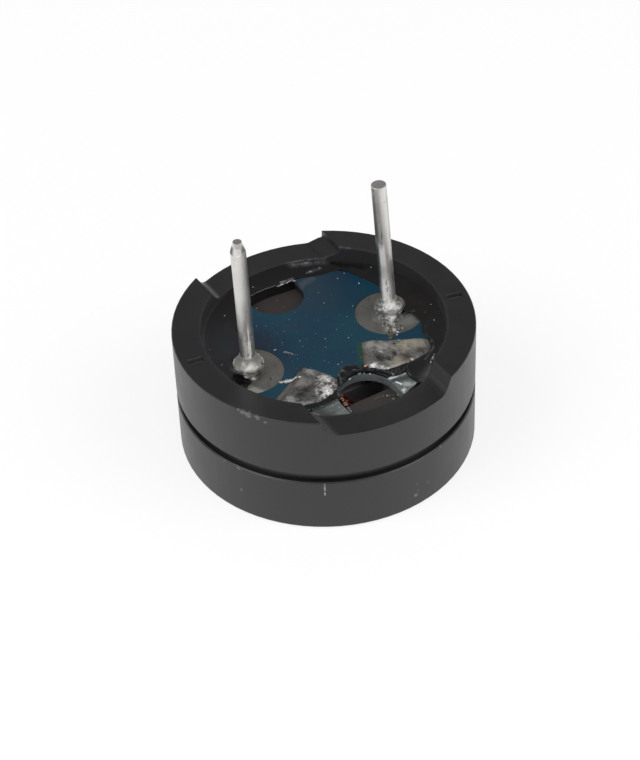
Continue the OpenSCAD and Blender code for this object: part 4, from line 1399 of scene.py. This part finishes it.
# %% Black glue: over the wire above the slot, and along the lower edge of both wire pads
GLUE_ABOVE_SLOT = [
    (-0.98, -2.82), (-0.86, -2.5), (-0.74, -2.15), (-0.45, -1.9), (-0.2, -1.8), (0.1, -1.9),
    (0.35, -2.15), (0.56, -2.42), (0.64, -2.76), (0.3, -2.57), (0.1, -2.5), (-0.1, -2.49),
    (-0.4, -2.53), (-0.7, -2.66),
]
GLUE_RIGHT_OF_SLOT = [
    (0.42, -2.5), (0.6, -2.5), (0.9, -2.84), (1.14, -3.04), (1.04, -3.34), (0.95, -3.22), (0.8, -2.96),
    (0.58, -2.74), (0.42, -2.64),
]
GLUE_BELOW_RIGHT = [
    (0.98, -2.94), (1.4, -3.0), (1.95, -3.02), (2.2, -3.14), (1.9, -3.34), (1.5, -3.44),
    (1.2, -3.42), (1.04, -3.3),
]
GLUE_BELOW_LEFT = [
    (-1.02, -2.78), (-1.3, -2.96), (-1.6, -3.08), (-2.25, -3.08), (-2.95, -2.92), (-2.85, -3.3),
    (-2.0, -3.42), (-1.5, -3.4), (-1.27, -3.3), (-1.16, -3.08),
]
SLOT_BULGES = [
    (-0.5, -2.2, 0.14, 0.04), (-0.15, -2.0, 0.16, 0.03), (0.15, -2.2, 0.16, 0.04),
    (-0.1, -2.38, 0.1, 0.04), (-0.75, -2.55, 0.12, 0.03),
]
for name, outline, thick, bulges, seed, sunk in (
    ("glue_above_slot", GLUE_ABOVE_SLOT, 0.07, SLOT_BULGES, 4.0, 0.002),
    ("glue_right_of_slot", GLUE_RIGHT_OF_SLOT, 0.06, [], 7.0, 0.002),
    ("glue_below_right_pad", GLUE_BELOW_RIGHT, 0.08, [], 5.0, 0.03),
    ("glue_below_left_pad", GLUE_BELOW_LEFT, 0.07, [], 6.0, 0.03),
):
    put_rings(name, mound(outline, thick, bulges, seed, MASK_Z - sunk, 0.5), glue)

# %% Pale threads and smears, some standing as painted highlights: on the slot's edge, in the resin, and along the rear of the recess
SMEARS = raised(
    LAMINATE_Z, (1.4, -3.5, 0, 0.12, 0.03, 0.02, -30), (-1.35, -4.0, 0, 0.03, 0.2, 0.02, -6),
) + raised(
    MASK_Z, (-1.58, 0.0, 0, 0.36, 0.03, 0.012, -56), (-1.95, 0.52, 0, 0.07, 0.05, 0.02, 0),
    (1.75, 3.94, 0.08, 0.12, 0.03, 0.02, -8), (2.1, 3.92, 0.08, 0.06, 0.03, 0.02, 14),
    (2.34, 3.84, 0.08, 0.05, 0.04, 0.02, -20), (1.9, 4.0, 0.1, 0.05, 0.03, 0.02, 0),
    (-0.75, 4.35, 0.12, 0.1, 0.02, 0.01, -60), (-1.5, 3.7, 0.07, 0.04, 0.03, 0.02, 0),
    (0.9, 3.8, 0.07, 0.1, 0.03, 0.02, -30),
) + raised(
    FLOOR_Z, (-1.0, 3.62, 0.02, 0.06, 0.03, 0.02, 10),
)
lumps("pale_smears", SMEARS, smear, roughness=1.0, cells=10.0)
# Pale lumps along the arch, the slot's edges, the resin and the rear lip: partly glue threads and partly
# painted highlights on those edges.
THREADS_AND_HIGHLIGHTS = raised(
    LAMINATE_Z, (0.28, -2.6, 0.03, 0.14, 0.025, 0.025, -22), (0.42, -2.72, 0.01, 0.05, 0.03, 0.03, 0),
    (0.08, -2.52, 0.04, 0.09, 0.02, 0.02, -6), (-0.4, -2.56, 0.03, 0.1, 0.02, 0.02, 14),
    (1.16, -3.42, 0, 0.2, 0.035, 0.03, -4), (1.07, -4.15, 0, 0.02, 0.26, 0.015, 2),
    (1.0, -4.5, 0, 0.04, 0.04, 0.03, 0),
) + raised(
    MASK_Z, (2.83, -3.5, 0.15, 0.26, 0.035, 0.04, 40), (0.3, 3.86, 0.07, 0.2, 0.03, 0.02, 0),
    (0.66, 3.86, 0.07, 0.18, 0.025, 0.02, 6),
)
lumps("threads_and_highlights", THREADS_AND_HIGHLIGHTS, thread_and_highlight, roughness=0.8, cells=10.0)
REAR_FLUX = raised(
    MASK_Z, (1.62, 3.9, 0.1, 0.05, 0.04, 0.03, 0), (1.86, 3.93, 0.11, 0.06, 0.03, 0.03, 0),
    (2.2, 3.9, 0.11, 0.06, 0.04, 0.03, 0), (2.0, 4.02, 0.13, 0.04, 0.03, 0.02, 0),
)
lumps("rear_flux", REAR_FLUX, flux, roughness=0.8, cells=9.0)

# %% Dust on the board and on the resin
BIG_DUST = [
    (-1.5, 0.75), (-1.2, 0.8), (-0.85, 0.45), (-0.95, 0.1), (-0.1, 0.5), (0.05, 0), (-0.2, -0.45),
    (0.85, -0.45), (0.75, 0.25), (1.1, 0.35), (1.5, 0.7), (2.05, 1.15), (1.2, 1.95), (1.35, 2.65),
    (2.5, 3.0), (2.9, 3.15), (3.05, 2.25), (-1.5, 2.0), (-0.6, -1.3), (-0.35, -1.6), (-0.15, -1.55),
]
RESIN_DUST = [
    (-4.17, 1.82), (3.9, 2.65), (4.1, 2.65), (4.2, -0.9), (4.6, -0.7), (4.2, -1.55), (-2.6, 3.4),
    (-4.2, 0.8),
]
GRAIN, FINE_GRAIN = 0.026, 0.011
FINE_COUNT, FINE_FIELD = 110, 3.2


def specks(places, level, size, chance):
    """Grains of dust: (x, y) places turned into lumps of random size and turn."""
    grains = []
    for x, y in places:
        half = size * chance.uniform(0.6, 1.4)
        spread = (half * chance.uniform(0.6, 1.6), half, half * 0.7, chance.uniform(0, 180))
        grains.append((x, y, level(x, y) + half * 0.3, *spread))
    return grains


def scattered(count, radius, chance):
    """Random places in a disc round the board's middle."""
    places = []
    for _ in range(count):
        turn, out = chance.uniform(0, 2 * math.pi), radius * math.sqrt(chance.random())
        places.append((BOARD_X + out * math.cos(turn), out * math.sin(turn)))
    return places


def board_top(x, y):
    """The lacquer is flat, so its top is at one height everywhere."""
    return MASK_Z


chance = random.Random(12)
grains = specks(BIG_DUST, board_top, GRAIN, chance)
grains += specks(scattered(FINE_COUNT, FINE_FIELD, chance), board_top, FINE_GRAIN, chance)
grains += specks(RESIN_DUST, resin_top, GRAIN, chance)
lumps("dust", grains, dust, roughness=1.0, cells=30.0, detail=1)

# %% Chips where the rim was knocked, and two specks on the wall
CHIPS = [
    (-152.6, 5.95, 5.4, 0.07), (-150.4, 5.95, 5.37, 0.08), (-146.4, 5.95, 5.36, 0.06),
    (-155.8, 5.96, 0.96, 0.04), (-89.6, 5.96, 0.43, 0.04),
]
marks = [(*polar(angle, out, z), half * 0.5, half, half * 0.8, angle) for angle, out, z, half in CHIPS]
lumps("chips", marks, chipped, roughness=0.7, cells=14.0, detail=2)
